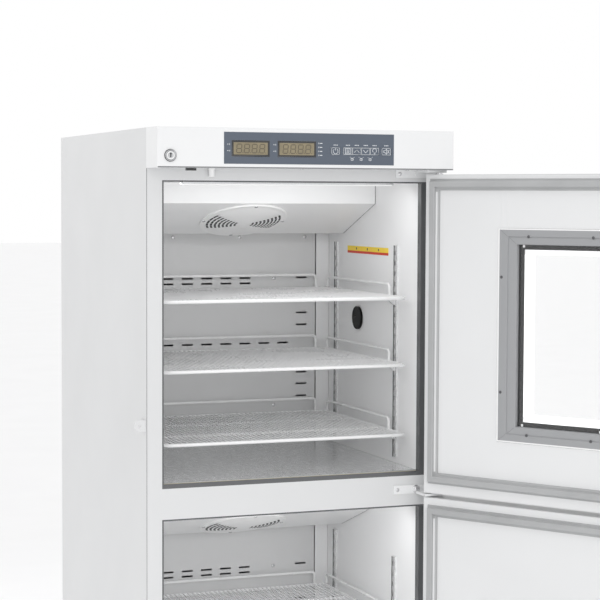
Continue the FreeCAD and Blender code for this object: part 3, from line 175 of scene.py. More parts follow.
def raiseGrain(tree, shader, source, strength, distance=0.0002):
    bump = addNode(tree, "ShaderNodeBump", {
        "Height": source, "Strength": strength, "Distance": distance})
    feed(shader, {"Normal": bump.outputs["Normal"]})


def shaded(colour, by):
    return tuple(max(0.0, min(1.0, part * (1 + by))) for part in colour)


paintUsual = {  # what a paint has unless its own look says otherwise
    "drift": 0.02, "driftSize": 2.2, "speck": 0.03, "speckSize": 420, "speckTone": -0.25,
    "speckBand": (0.66, 0.74), "smearSize": 7, "smear": (-0.05, 0.07), "gloss": 0.5,
    "coat": 0.0, "coatRough": 0.08, "peel": 0.05, "peelSize": 520,
}


def plainPaint(name, ownLook):
    # a sprayed or moulded skin: slow tone drift, fine orange peel, a few dust specks
    look = {**paintUsual, **ownLook}
    finish, tree, shader = newFinish(name)
    colour, drift = look["colour"], look["drift"]
    tone = spread(tree, grainAt(tree, look["driftSize"], 3), 0, 1)
    painted = blendColours(tree, tone, shaded(colour, -drift), shaded(colour, drift))
    if look["speck"]:
        dust = spread(tree, grainAt(tree, look["speckSize"], 2), 0, 1, *look["speckBand"])
        share = addNode(tree, "ShaderNodeMath", {0: dust, 1: look["speck"] * 4},
                        operation="MULTIPLY")
        painted = blendColours(tree, share.outputs[0], painted,
                               shaded(colour, look["speckTone"]))
    smear = spread(tree, grainAt(tree, look["smearSize"], 5),
                   *(look["rough"] + change for change in look["smear"]))
    feed(shader, {"Base Color": painted, "Roughness": smear, "Metallic": 0.0,
                  "Specular IOR Level": look["gloss"]})
    if look["coat"]:
        feed(shader, {"Coat Weight": look["coat"], "Coat Roughness": look["coatRough"]})
    raiseGrain(tree, shader, grainAt(tree, look["peelSize"], 2), look["peel"])
    return finish


metalUsual = {  # what a metal has unless its own look says otherwise
    "stretch": (1, 1, 0.03), "lineSize": 1600, "cloudSize": 24, "streak": 0.10,
    "tarnish": 0.35, "tarnishTone": -0.35, "sheen": (-0.06, 0.10), "metal": 1.0,
    "scratch": 0.12,
}


def brushedMetal(name, ownLook):
    # fine scratches drawn out along one direction
    look = {**metalUsual, **ownLook}
    finish, tree, shader = newFinish(name)
    colour, streak = look["colour"], look["streak"]
    lines = grainAt(tree, look["lineSize"], 3, look["stretch"])
    cloud = grainAt(tree, look["cloudSize"], 4)
    tone = spread(tree, lines, 0, 1)
    streaked = blendColours(tree, tone, shaded(colour, -streak), shaded(colour, streak))
    clouded = blendColours(tree, spread(tree, cloud, 0, look["tarnish"]), streaked,
                           shaded(colour, look["tarnishTone"]))
    sheen = spread(tree, lines, *(look["rough"] + change for change in look["sheen"]))
    feed(shader, {"Base Color": clouded, "Roughness": sheen, "Metallic": look["metal"]})
    raiseGrain(tree, shader, lines, look["scratch"], 0.0001)
    return finish


finishLooks = {
    "cabinetPaint": {"colour": (0.685, 0.69, 0.695), "rough": 0.36, "peel": 0.10, "coat": 0.15},
    "headPaint": {"colour": (0.80, 0.805, 0.81), "rough": 0.33, "peel": 0.06, "coat": 0.2},
    "doorPaint": {"colour": (0.72, 0.725, 0.73), "rough": 0.34, "peel": 0.09, "coat": 0.15},
    "chamberPaint": {"colour": (0.92, 0.922, 0.925), "rough": 0.38,
                     "speck": 0.02},
    # the chamber's white paint made darker for the duct panels: painted shade
    "ductPaintShaded": {"colour": (0.70, 0.703, 0.706), "rough": 0.42, "speck": 0.02},
    "hoodPaint": {"colour": (0.90, 0.903, 0.906), "rough": 0.36, "speck": 0.02},
    "coverPaint": {"colour": (0.93, 0.932, 0.935), "rough": 0.4},
    "plugRubber": {"colour": (0.006, 0.006, 0.006), "rough": 0.3, "peel": 0.03,
                   "speckTone": 0.5, "gloss": 0.12},
    # painted highlight: light glossy paint for a strip down the door seal's hinge side
    "sealHighlight": {"colour": (0.78, 0.785, 0.79), "rough": 0.2, "peel": 0.04, "coat": 0.4},
    # dark mottled paint for the shelf posts' edges: painted shade
    "postEdgeShade": {"colour": (0.085, 0.087, 0.09), "rough": 0.4, "peel": 0.3, "drift": 0.6,
                   "driftSize": 130, "speckTone": 1.5, "speck": 0.2},
    "frameScrew": {"colour": (0.10, 0.10, 0.105), "rough": 0.3},
    "edgeShade": {"colour": (0.20, 0.205, 0.21), "rough": 0.5},
    "linerPlastic": {"colour": (0.785, 0.79, 0.795), "rough": 0.45,
                     "peelSize": 260},
    "guardPlastic": {"colour": (0.93, 0.93, 0.93), "rough": 0.32, "peel": 0.03},
    "wireCoat": {"colour": (0.92, 0.922, 0.925), "rough": 0.28, "peel": 0.08,
                 "peelSize": 900, "coat": 0.3},
    "breakerPlastic": {"colour": (0.10, 0.103, 0.107), "rough": 0.18, "peel": 0.03,
                       "coat": 0.5, "speckTone": 0.8},
    "darkPlastic": {"colour": (0.05, 0.052, 0.055), "rough": 0.35, "peel": 0.06,
                    "speckTone": 0.8},
    "framePlastic": {"colour": (0.345, 0.35, 0.36), "rough": 0.38},
    "handlePlastic": {"colour": (0.30, 0.31, 0.33), "rough": 0.36, "peel": 0.10},
    "rubber": {"colour": (0.022, 0.022, 0.023), "rough": 0.62, "peel": 0.2,
               "speckTone": 1.2, "gloss": 0.35},
    "borderInk": {"colour": (0.012, 0.012, 0.013), "rough": 0.12, "peel": 0.02, "coat": 0.6,
                  "speckTone": 0.9},
    "overlayFilm": {"colour": (0.088, 0.108, 0.142), "rough": 0.34, "peel": 0.09,
                    "peelSize": 2600, "speckTone": 0.3},
    "foam": {"colour": (0.80, 0.72, 0.48), "rough": 0.8, "peel": 0.5, "peelSize": 900},
    "blackEnamel": {"colour": (0.018, 0.018, 0.02), "rough": 0.3, "peel": 0.25,
                    "coat": 0.3, "speckTone": 1.0},
    "tyre": {"colour": (0.24, 0.245, 0.25), "rough": 0.5, "peel": 0.15},
    "lampLens": {"colour": (0.42, 0.44, 0.46), "rough": 0.2, "peelSize": 1800,
                 "coat": 0.7, "drift": 0.12, "driftSize": 90},
    "sealRubber": {"colour": (0.42, 0.425, 0.43), "rough": 0.42, "peel": 0.12,
                   "peelSize": 700, "drift": 0.05, "driftSize": 14, "gloss": 0.45},
    # dark paint for printed dots and mitre joints, also used as painted shade in the guard
    # slots, the lock's groove and the keyhole
    "jointInkAndShade": {"colour": (0.07, 0.072, 0.075), "rough": 0.7, "peel": 0.1,
                    "speckTone": 0.5},
    "whiteInk": {"colour": (0.80, 0.82, 0.84), "rough": 0.5, "drift": 0.05,
                 "driftSize": 120, "speckTone": -0.4},
    "displayField": {"colour": (0.235, 0.195, 0.115), "rough": 0.16, "peel": 0.02,
                     "drift": 0.12, "driftSize": 60, "coat": 0.6, "speckTone": 0.5},
    "displayBars": {"colour": (0.075, 0.06, 0.035), "rough": 0.25, "peel": 0.03,
                    "drift": 0.1, "driftSize": 160, "coat": 0.5, "speckTone": -0.3},
}

metalLooks = {
    "postSteel": {"colour": (0.88, 0.885, 0.89), "rough": 0.3, "tarnish": 0.45, "metal": 0.55,
                  "cloudSize": 90},
    "floorSteel": {"colour": (0.86, 0.865, 0.87), "rough": 0.22, "metal": 0.6,
                   "stretch": (0.03, 1, 1), "tarnish": 0.12, "streak": 0.04,
                   "scratch": 0.05},
    "zincPlate": {"colour": (0.55, 0.56, 0.57), "rough": 0.42, "stretch": (1, 1, 1),
                  "lineSize": 260, "tarnish": 0.5, "cloudSize": 60},
    "brightScrew": {"colour": (0.66, 0.66, 0.67), "rough": 0.2, "stretch": (1, 1, 1),
                    "tarnish": 0.3},
    "lockChrome": {"colour": (0.45, 0.455, 0.465), "rough": 0.16, "stretch": (1, 0.05, 1),
                   "tarnish": 0.2},
    "finAluminium": {"colour": (0.74, 0.75, 0.76), "rough": 0.38, "tarnish": 0.25},
}

finishes = {name: plainPaint(name, look) for name, look in finishLooks.items()}
finishes.update({name: brushedMetal(name, look) for name, look in metalLooks.items()})


paneLook = {"tint": (0.985, 1.0, 0.995), "clear": 0.975, "bend": 1.45,  # refraction
            "gloss": 0.6}


def clearPane(name):
    # float glass: clear through, gloss at grazing angles, faint smears
    finish, tree, shader = newFinish(name)
    haze = spread(tree, grainAt(tree, 9, 5), 0.0, 0.05)
    tone = spread(tree, grainAt(tree, 3, 3), 0, 1)
    tinted = blendColours(tree, tone, paneLook["tint"], shaded(paneLook["tint"], 0.03))
    feed(shader, {"Base Color": tinted, "Roughness": haze, "IOR": paneLook["bend"],
                  "Alpha": 1 - paneLook["clear"], "Specular IOR Level": paneLook["gloss"]})
    return finish


spacerLook = {"colour": (0.95, 0.955, 0.96), "rough": 0.5}


def spacerPaintedGlow(name):
    # milky strip between the panes, with a painted glow (emission) in place of the daylight
    # shining through it
    finish = plainPaint(name, spacerLook)
    feed(finish.node_tree.nodes["Principled BSDF"], {
        "Emission Color": (1.0, 1.0, 1.0, 1), "Emission Strength": 0.45})
    return finish


hingeLook = {
    "pinEdge": (0.0068, 0.0074),  # bare inside, painted outside, metres from the pin
    "paint": ((0.80, 0.805, 0.81), (0.85, 0.855, 0.86)),
    "steel": ((0.55, 0.55, 0.56), (0.72, 0.72, 0.73)),
    "rough": (0.38, 0.18),
}


def hingeSteel(name, pin):
    # painted arms with a bare bright pin in them
    finish, tree, shader = newFinish(name)
    apart = addNode(tree, "ShaderNodeVectorMath", {0: spotOn(tree), 1: (pin[0], pin[1], 0)},
                    operation="SUBTRACT")
    flat = addNode(tree, "ShaderNodeVectorMath", {0: apart.outputs[0], 1: (1, 1, 0)},
                   operation="MULTIPLY")
    reach = addNode(tree, "ShaderNodeVectorMath", {0: flat.outputs[0]}, operation="LENGTH")
    bare = spread(tree, reach.outputs["Value"], 1, 0, *hingeLook["pinEdge"])
    lines = grainAt(tree, 900, 3)
    paint, steel = (blendColours(tree, spread(tree, lines, 0, 1), *hingeLook[part])
                    for part in ("paint", "steel"))
    feed(shader, {"Base Color": blendColours(tree, bare, paint, steel), "Metallic": bare,
                  "Roughness": spread(tree, bare, *hingeLook["rough"], 0, 1)})
    raiseGrain(tree, shader, lines, 0.05)
    return finish


zincLook = {"leafSize": 130, "dark": (0.50, 0.51, 0.52), "light": (0.64, 0.65, 0.66),
            "rough": (0.34, 0.5), "metal": 0.9}


def galvanised(name):
    # sheet with the leafy crystals that hot zinc leaves
    finish, tree, shader = newFinish(name)
    leaf = addNode(tree, "ShaderNodeTexVoronoi", {
        "Vector": spotOn(tree), "Scale": zincLook["leafSize"]})
    grey = addNode(tree, "ShaderNodeSeparateColor", {0: leaf.outputs["Color"]})
    tone = spread(tree, grey.outputs[0], 0, 1, 0, 1)
    feed(shader, {"Base Color": blendColours(tree, tone, zincLook["dark"], zincLook["light"]),
                  "Roughness": spread(tree, grey.outputs[1], *zincLook["rough"], 0, 1),
                  "Metallic": zincLook["metal"]})
    raiseGrain(tree, shader, grey.outputs[0], 0.08, 0.0001)
    return finish


joints = {joint["name"]: joint for joint in frame["joints"]}


def jointPin(name):
    return Vector(joints[name]["pos_m"])


upperPin = jointPin("upper_door_hinge")

stripLook = {"yellow": (1.0, 0.68, 0.045), "red": (0.72, 0.055, 0.02), "redBelow": 0.0052,
             "dots": (-62.0, 0.0, 62.0), "dotRise": 2.4, "dotRadius": 2.8}


def markerFilm(name):
    # yellow tape with a red foot line, a little faded and scuffed
    finish, tree, shader = newFinish(name)
    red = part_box("marker_strip")[0].z + stripLook["redBelow"]
    parts = addNode(tree, "ShaderNodeSeparateXYZ", {0: spotOn(tree)})
    foot = spread(tree, parts.outputs["Z"], 1, 0, red, red + 0.0003)
    fade = spread(tree, grainAt(tree, 40, 5), 0, 1)
    yellow = blendColours(tree, fade, stripLook["yellow"], shaded(stripLook["yellow"], 0.12))
    feed(shader, {"Base Color": blendColours(tree, foot, yellow, stripLook["red"]),
                  "Roughness": spread(tree, grainAt(tree, 300, 3), 0.35, 0.5)})
    raiseGrain(tree, shader, grainAt(tree, 700, 2), 0.05)
    return finish


finishes.update({
    "clearPane": clearPane("clearPane"), "spacerPaintedGlow": spacerPaintedGlow("spacerPaintedGlow"),
    "hingeSteel": hingeSteel("hingeSteel", upperPin), "galvanised": galvanised("galvanised"),
    "markerFilm": markerFilm("markerFilm"),
})

finishNodes = {
    "cabinetPaint": "left_side_panel right_side_panel top_panel front_rails padlock_tabs "
                    "front_grille",
    "headPaint": "head_bezel",
    "doorPaint": "upper_door_shell lower_door_shell",
    "linerPlastic": "upper_door_panel lower_door_panel",
    "sealRubber": "upper_door_seal lower_door_seal",
    "handlePlastic": "upper_door_handle lower_door_handle",
    "framePlastic": "upper_door_window_frame",
    "clearPane": "upper_door_window_glass",
    "spacerPaintedGlow": "upper_door_window_spacer",
    "galvanised": "back_panel base_tray",
    "foam": "cabinet_foam",
    "breakerPlastic": "breaker_frames",
    "chamberPaint": "chamber_liners",
    "floorSteel": "floor_sheets",
    "darkPlastic": "upper_fan_impeller lower_fan_impeller power_inlet",
    "hoodPaint": "fan_hoods",
    "guardPlastic": "fan_guards port_sleeve door_sensor",
    "zincPlate": "fan_motors",
    "ductPaintShaded": "duct_panels",
    "finAluminium": "evaporators",
    "postSteel": "shelf_posts",
    "wireCoat": "upper_shelf_top upper_shelf_middle upper_shelf_bottom lower_shelf_top "
                "lower_shelf_bottom",
    "plugRubber": "port_plug",
    "markerFilm": "marker_strip",
    "overlayFilm": "control_overlay power_button set_button up_button down_button "
                   "lamp_button mute_button",
    "borderInk": "display_windows",
    "lampLens": "indicator_lamps",
    "lockChrome": "lock_barrel key_core",
    "blackEnamel": "lock_bolt compressor",
    "hingeSteel": "hinge_brackets",
    "brightScrew": "panel_screws upper_door_frame_screws",
    "tyre": "rear_rollers",
    "rubber": "levelling_feet",
}


def dressNodes():
    dressed = 0
    for finish, names in finishNodes.items():
        for name in names.split():
            nodes[name].data.materials.clear()
            nodes[name].data.materials.append(finishes[finish])
            dressed += 1
    print("finishes given to", dressed, "of", len(nodes), "pieces")


dressNodes()
placeCamera()
lightStudio()
layFloor()


def settle(bm, name, finish, body, at=None, bevel=0.0, creased=35):
    # turns a finished bmesh into a piece that rides on a body of the cabinet
    bmesh.ops.remove_doubles(bm, verts=bm.verts, dist=1e-7)
    bmesh.ops.recalc_face_normals(bm, faces=bm.faces)
    mesh = bpy.data.meshes.new(name)
    bm.to_mesh(mesh)
    bm.free()
    if at is not None:
        mesh.transform(at)
    mesh.materials.append(finishes[finish])
    for face in mesh.polygons:
        face.use_smooth = True
    mesh.set_sharp_from_angle(angle=math.radians(creased))
    item = placeItem(name, mesh)
    if bevel:
        edge = item.modifiers.new("softEdge", "BEVEL")
        edge.width = bevel * mm
        edge.segments = 2
        edge.limit_method = "ANGLE"
    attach(item, body)
    return item


def loops(bm, rings, closedAcross=True, caps=False):
    # joins a row of point rings, given in metres, with faces
    made = [[bm.verts.new(point) for point in ring] for ring in rings]
    for first, second in zip(made, made[1:]):
        count = len(first)
        for i in range(count if closedAcross else count - 1):
            j = (i + 1) % count
            bm.faces.new((first[i], first[j], second[j], second[i]))
    if caps:
        bm.faces.new(made[0][::-1])
        bm.faces.new(made[-1])
    return made


def mitredFrame(bm, low, high, base, profile, squeeze=1.0):
    # a moulding run round a rectangle: profile is (in from the edge, out along Y), in mm;
    # squeeze narrows the two level sides
    rings = []
    for across, up in ((-1, -1), (1, -1), (1, 1), (-1, 1), (-1, -1)):
        ring = []
        for inset, out in profile:
            x = (low[0] if across < 0 else high[0]) - across * inset * mm
            z = (low[1] if up < 0 else high[1]) - up * inset * mm * squeeze
            ring.append((x, base + out * mm, z))
        rings.append(ring)
    loops(bm, rings)


def onCircle(radius, angle):
    return radius * math.cos(angle), radius * math.sin(angle)


def turned(bm, outline, centre, axis="Y", sides=48):
    # a lathe piece: outline is (radius, along), in mm, about a Y or Z axis through centre
    rings = []
    for k in range(sides + 1):
        angle = 2 * math.pi * k / sides
        ring = []
        for radius, along in outline:
            a, b = onCircle(radius, angle)
            spot = (a, along, b) if axis == "Y" else (a, b, along)
            ring.append(Vector(centre) + Vector(spot) * mm)
        rings.append(ring)
    loops(bm, rings, closedAcross=False)


def slab(bm, corners, front, thick):
    # a flat plate in the XZ plane: corners in mm, front and thickness in metres
    count = len(corners)
    near = [bm.verts.new((x * mm, front, z * mm)) for x, z in corners]
    far = [bm.verts.new((x * mm, front + thick, z * mm)) for x, z in corners]
    bm.faces.new(near)
    bm.faces.new(far[::-1])
    for i in range(count):
        j = (i + 1) % count
        bm.faces.new((near[j], near[i], far[i], far[j]))


def roundedOutline(left, right, foot, top, radius):
    corners = []
    for cx, cz, start in ((right - radius, top - radius, 0), (left + radius, top - radius, 90),
                          (left + radius, foot + radius, 180),
                          (right - radius, foot + radius, 270)):
        corners += arc(cx, cz, radius, start, start + 90, 5)
    return corners


def inkStroke(bm, line, front, wide, closed=False, thick=0.00005):
    # a printed line with mitred corners; points in mm
    points = [Vector(point) for point in line]
    count = len(points)
    left, right = [], []
    for i, point in enumerate(points):
        ahead = points[(i + 1) % count] - point if closed or i < count - 1 else None
        behind = point - points[i - 1] if closed or i else None
        ahead = (ahead or behind).normalized()
        behind = (behind or ahead).normalized()
        along = (ahead + behind).normalized()
        side = Vector((-along.y, along.x))
        reach = wide / 2 / max(0.4, side.dot(Vector((-ahead.y, ahead.x))))
        left.append(point + side * reach)
        right.append(point - side * reach)
    last = count if closed else count - 1
    for i in range(last):
        j = (i + 1) % count
        slab(bm, [left[i], left[j], right[j], right[i]], front, thick)


def arc(cx, cz, radius, start, stop, steps=14):
    return [(cx + radius * math.cos(math.radians(start + (stop - start) * k / steps)),
             cz + radius * math.sin(math.radians(start + (stop - start) * k / steps)))
            for k in range(steps + 1)]


def sidesOf(low, high, inset=0.0):
    # left, right, foot and top of a box seen from the front, in mm
    return (low.x / mm + inset, high.x / mm - inset, low.z / mm + inset, high.z / mm - inset)


def rectangle(left, right, foot, top):
    return [(left, foot), (right, foot), (right, top), (left, top)]


def spanOf(points):
    return (Vector([min(p[k] for p in points) for k in range(3)]),
            Vector([max(p[k] for p in points) for k in range(3)]))


def islandBoxes(node):
    # the separate lumps of one CAD piece, each as (points, lowest, highest)
    bm = bmesh.new()
    bm.from_mesh(nodes[node].data)
    bmesh.ops.remove_doubles(bm, verts=bm.verts, dist=1e-5)
    found, seen = [], set()
    for start in bm.verts:
        if start in seen:
            continue
        heap, lump = [start], []
        seen.add(start)
        while heap:
            vert = heap.pop()
            lump.append(vert.co.copy())
            for edge in vert.link_edges:
                other = edge.other_vert(vert)
                if other not in seen:
                    seen.add(other)
                    heap.append(other)
        found.append((lump, *spanOf(lump)))
    bm.free()
    return found


def swingOf(jointName):
    # carries a point drawn on the closed door to where the open door stands
    pin = jointPin(jointName)
    turn = Matrix.Rotation(-math.radians(joints[jointName]["range_deg"][0]), 4, "Z")
    return Matrix.Translation(pin) @ turn @ Matrix.Translation(-pin)


def closedBox(node, swing):
    # where a door's piece stands with the door closed
    back = swing.inverted()
    return spanOf([back @ v.co for v in nodes[node].data.vertices])


def addPart(bm, part, place):
    # moves a finished part to its place and joins it to the piece being built
    bmesh.ops.transform(part, matrix=place, verts=part.verts)
    spare = bpy.data.meshes.new("spare")
    part.to_mesh(spare)
    part.free()
    bm.from_mesh(spare)
    bpy.data.meshes.remove(spare)


def standOn(foot, out):
    # turns a part drawn along Z to stand on a point, pointing out
    return Matrix.Translation(foot) @ out.to_track_quat("Z", "Y").to_matrix().to_4x4()


sealLook = {
    # in from the outer edge, up from the liner: foot, bellows, magnet pocket, inner fin
    "profile": [(0, 0.1), (0, 2.0), (1.2, 3.2), (3.4, 3.6), (4.7, 5.0), (4.2, 6.8), (5.0, 8.4),
                (4.8, 11.4), (5.4, 12.8), (6.8, 13.3), (9.4, 13.0), (12.0, 13.3),
                (15.4, 13.2), (16.9, 12.4), (17.3, 10.0), (16.0, 8.2), (16.4, 6.6),
                (18.0, 5.4), (19.8, 4.9), (21.4, 3.4), (22.9, 2.6), (23.2, 1.2), (23.2, 0.1)],
    # highlightStrip: a light glossy strip down the hinge side only, a painted highlight on the
    # seal
    "highlightStrip": [(16.6, 6.6), (18.0, 5.7), (19.9, 5.1), (19.9, 4.6), (18.0, 5.2), (16.5, 6.2)],
    "highlightStop": 26,
}


def makeSeal(door, jointName):
    swing = swingOf(jointName)
    low, high = closedBox(door + "_seal", swing)
    bm = bmesh.new()
    mitredFrame(bm, (low.x, low.z), (high.x, high.z), low.y, sealLook["profile"])
    seal = settle(bm, door + "MagnetSeal", "sealRubber", door, swing,
                  creased=25)
    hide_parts(door + "_seal")
    # painted highlight: a light glossy strip down the seal's hinge side, stopping short of the
    # corners
    bm = bmesh.new()
    reach = sealLook["highlightStop"] * mm
    loops(bm, [[(high.x - across * mm, low.y + out * mm, z)
                for across, out in sealLook["highlightStrip"]]
               for z in (low.z + reach, high.z - reach)], caps=True)
    settle(bm, door + "SealHighlightStrip", "sealHighlight", door, swing, creased=25)


foldLook = {"away": (6, 19), "half": 0.7, "rise": 0.45, "topGap": 23.5}  # mm


def makeLinerFolds():
    # two faint folds in the door's liner above the window
    swing = swingOf("upper_door_hinge")
    low, high = closedBox("upper_door_seal", swing)
    window = closedBox("upper_door_window_frame", swing)[1]
    half, rise = foldLook["half"] * mm, foldLook["rise"] * mm
    flat = low.y + 0.00001
    bm = bmesh.new()
    for away in foldLook["away"]:
        x = window.x - away * mm
        loops(bm, [[(x - half, flat, z), (x, low.y + rise, z), (x + half, flat, z)]
                   for z in (window.z + 0.001, high.z - foldLook["topGap"] * mm)],
              caps=True)
    settle(bm, "upper_doorLinerFolds", "linerPlastic", "upper_door", swing)


windowLook = {
    # outer moulding, groove, inner step and the deep return to the glass
    "profile": [(0.1, 0.05), (0.1, 1.9), (1.3, 3.0), (20.6, 3.0), (21.8, 2.4), (22.2, 1.1),
                (23.9, 1.1), (24.3, 1.5), (39.4, 1.5), (41.2, 0.7), (41.8, -1.2),
                (41.9, -7.9), (23.8, -7.9), (23.8, -0.6), (22.0, 0.05)],
    "squeeze": 0.78,  # the head and foot bands against the side bands
    # bevel: a white band over the frame's outer bevel, a painted highlight along its edge
    "bevel": [(0.0, 0.05), (0.0, 2.0), (1.4, 3.15), (3.4, 3.15), (3.6, 3.0)],
    "border": [(40.5, -8.6), (40.5, -8.2), (54.0, -8.2), (54.0, -8.6)],
    "mitres": [(1.4, 20.5, 3.0), (24.4, 39.3, 1.5)],  # from, to, height over the liner
    "mitreWide": 0.35,
    "clip": (4.4, 5.0),
    "clipAt": (53.0, 35.5, -8.0),
    "clipThick": 2.2,
}


def makeWindowRing(name, part, finish, tall):
    swing = swingOf("upper_door_hinge")
    low, high = closedBox("upper_door_window_frame", swing)
    flat = closedBox("upper_door_seal", swing)[0].y
    bm = bmesh.new()
    mitredFrame(bm, (low.x, low.z), (high.x, high.z), flat, windowLook[part], tall)
    ring = settle(bm, name, finish, "upper_door", swing, creased=25)
    return ring, swing, low, high, flat


def makeWindowTrim():
    squeeze = windowLook["squeeze"]
    trim, swing, low, high, flat = makeWindowRing(
        "windowMoulding", "profile", "framePlastic", squeeze)
    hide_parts("upper_door_window_frame")
    left, right, foot, top = sidesOf(low, high)
    bm = bmesh.new()
    for across, x in ((-1, left), (1, right)):
        for up, z in ((-1, foot), (1, top)):
            for start, stop, rise in windowLook["mitres"]:
                inkStroke(bm, [(x - across * start, z - up * start * squeeze),
                               (x - across * stop, z - up * stop * squeeze)],
                          flat + rise * mm - 0.00002, windowLook["mitreWide"],
                          thick=0.00006)
    settle(bm, "windowMitreJoints", "jointInkAndShade", "upper_door", swing)
    # white ring over the grey frame's outer bevel: painted highlight
    makeWindowRing("windowBevelHighlight", "bevel", "guardPlastic", 1.0)
    makeWindowRing("glazingBorder", "border", "borderInk", squeeze)
    bm = bmesh.new()
    wide, tall = windowLook["clip"]
    inset, drop, sunk = windowLook["clipAt"]
    for x in (left + inset, right - inset):
        for z in (foot + drop, top - drop):
            outline = roundedOutline(x - wide / 2, x + wide / 2, z - tall / 2, z + tall / 2,
                                     1.0)
            slab(bm, outline, flat + sunk * mm, windowLook["clipThick"] * mm)
    settle(bm, "paneClips", "guardPlastic", "upper_door", swing, bevel=0.3)


makeSeal("upper_door", "upper_door_hinge")
makeLinerFolds()
makeSeal("lower_door", "lower_door_hinge")
makeWindowTrim()
print("doors trimmed")


inkLook = {  # mm, and the lift in metres
    "icon": 2.1, "wide": 0.8,  # size and stroke of the key pictures
    "box": 0.55, "boxHalf": 6.4, "boxInset": 0.5, "roundInset": 1.7, "corner": 2.0,
    "tick": 1.5, "ticks": (-3.2, 0, 3.2), "tickHalf": 1.0, "tickRise": 11.6,
    "groups": (-28.5, -9.5, 9.5), "groupDrop": 12.6,
    "lift": 0.00006,
}

iconLines = {
    # each icon as (points, closed), in mm about the key's middle
    "power": [(arc(0, -0.2, 2.4, 128, 412), False), ([(0, 0.6), (0, 3.1)], False)],
    "set": [(rectangle(-2.4, 2.4, -2.4, 2.4), True), ([(-1.4, 1.1), (1.4, 1.1)], False),
            ([(-1.4, 0), (1.4, 0)], False), ([(-1.4, -1.1), (1.4, -1.1)], False)],
    "up": [([(-2.5, -1.2), (0, 1.4), (2.5, -1.2)], False)],
    "down": [([(-2.5, 1.2), (0, -1.4), (2.5, 1.2)], False)],
    "lamp": [(arc(0, 0.8, 2.0, -50, 230), False), ([(-0.9, -1.4), (0.9, -1.4)], False),
             ([(-0.7, -2.3), (0.7, -2.3)], False)],
    "mute": [([(-2.6, -0.9), (-1.4, -0.9), (0.3, -2.3), (0.3, 2.3), (-1.4, 0.9),
               (-2.6, 0.9)], True), ([(1.1, -1.6), (3.1, 1.6)], False),
             ([(1.1, 1.6), (3.1, -1.6)], False)],
}


def middleOf(low, high):
    return (low.x + high.x) / 2 / mm, (low.z + high.z) / 2 / mm


def printKeys():
    for kind, lines in iconLines.items():
        low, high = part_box(kind + "_button")
        x, z = middleOf(low, high)
        front = low.y - inkLook["lift"]
        bm = bmesh.new()
        for line, closed in lines:
            swell = inkLook["icon"]
            inkStroke(bm, [(x + a * swell, z + b * swell) for a, b in line], front,
                      inkLook["wide"], closed)
        rounded = kind in ("power", "mute")
        inset = inkLook["roundInset" if rounded else "boxInset"]
        left, right = low.x / mm + inset, high.x / mm - inset
        foot, top = z - inkLook["boxHalf"], z + inkLook["boxHalf"]
        if rounded:
            box = roundedOutline(left, right, foot, top, inkLook["corner"])
        else:
            box = rectangle(left, right, foot, top)
        inkStroke(bm, box, front, inkLook["box"], True)
        settle(bm, kind + "KeyPrint", "whiteInk", "button_" + kind)


def printOverlay():
    # plain ticks over each key, bracket lines and small pictures under them
    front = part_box("control_overlay")[0].y - inkLook["lift"]
    bm = bmesh.new()
    for kind in iconLines:
        x, z = middleOf(*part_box(kind + "_button"))
        height = z + inkLook["tickRise"]
        for k in inkLook["ticks"]:
            half = inkLook["tickHalf"]
            inkStroke(bm, [(x + k - half, height), (x + k + half, height)], front,
                      inkLook["tick"])
    x, z = middleOf(*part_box("down_button"))
    base = z - inkLook["groupDrop"]
    for k in inkLook["groups"]:
        inkStroke(bm, arc(x + k, base + 6.8, 7.6, 222, 318), front, 0.3)
        inkStroke(bm, roundedOutline(x + k - 2.4, x + k + 2.4, base - 5.4, base - 1.6, 0.9),
                  front, 0.7, True)
        inkStroke(bm, [(x + k, base - 4.6), (x + k, base - 0.9)], front, 0.8)
    for lump, low, high in islandBoxes("indicator_lamps"):
        side, height = middleOf(low, high)
        inkStroke(bm, [(side + 2.6, height), (side + 7.4, height)] if side > 0 else
                  [(side - 2.6, height), (side - 4.2, height)], front, 1.3)
    settle(bm, "overlayPrint", "whiteInk", "cabinet")


displayLook = {  # mm, and the lifts in metres
    "rim": 3.4, "rimStep": 0.25, "fieldInset": 3.8,
    "digits": 4, "digitWide": 11.2, "digitTall": 18.0, "pitch": 15.6, "slant": 0.07,
    "bar": 1.5, "gap": 0.35,
    "dotAt": (7.4, -8.2), "dotRadius": 0.9,
    "fieldLift": 0.00006, "barLift": 0.00011, "skin": 0.00005,
}


def digitBars(cx, cz):
    # the seven bars of a digit as outlines
    wide, tall, bar = (displayLook[k] for k in ("digitWide", "digitTall", "bar"))
    half, third, gap = bar / 2, tall / 2, displayLook["gap"]

    def level(z):
        a, b = -wide / 2 + half + gap, wide / 2 - half - gap
        return [(a, z), (a + half, z - half), (b - half, z - half), (b, z),
                (b - half, z + half), (a + half, z + half)]

    def upright(x, foot, top):
        a, b = foot + gap, top - gap
        return [(x, a), (x + half, a + half), (x + half, b - half), (x, b),
                (x - half, b - half), (x - half, a + half)]

    side = wide / 2 - half
    bars = [level(-third + half), level(0), level(third - half)]
    for x in (-side, side):
        bars.append(upright(x, -third + half, 0))
        bars.append(upright(x, 0, third - half))
    lean = displayLook["slant"]
    return [[(cx + x + z * lean, cz + z) for x, z in outline] for outline in bars]


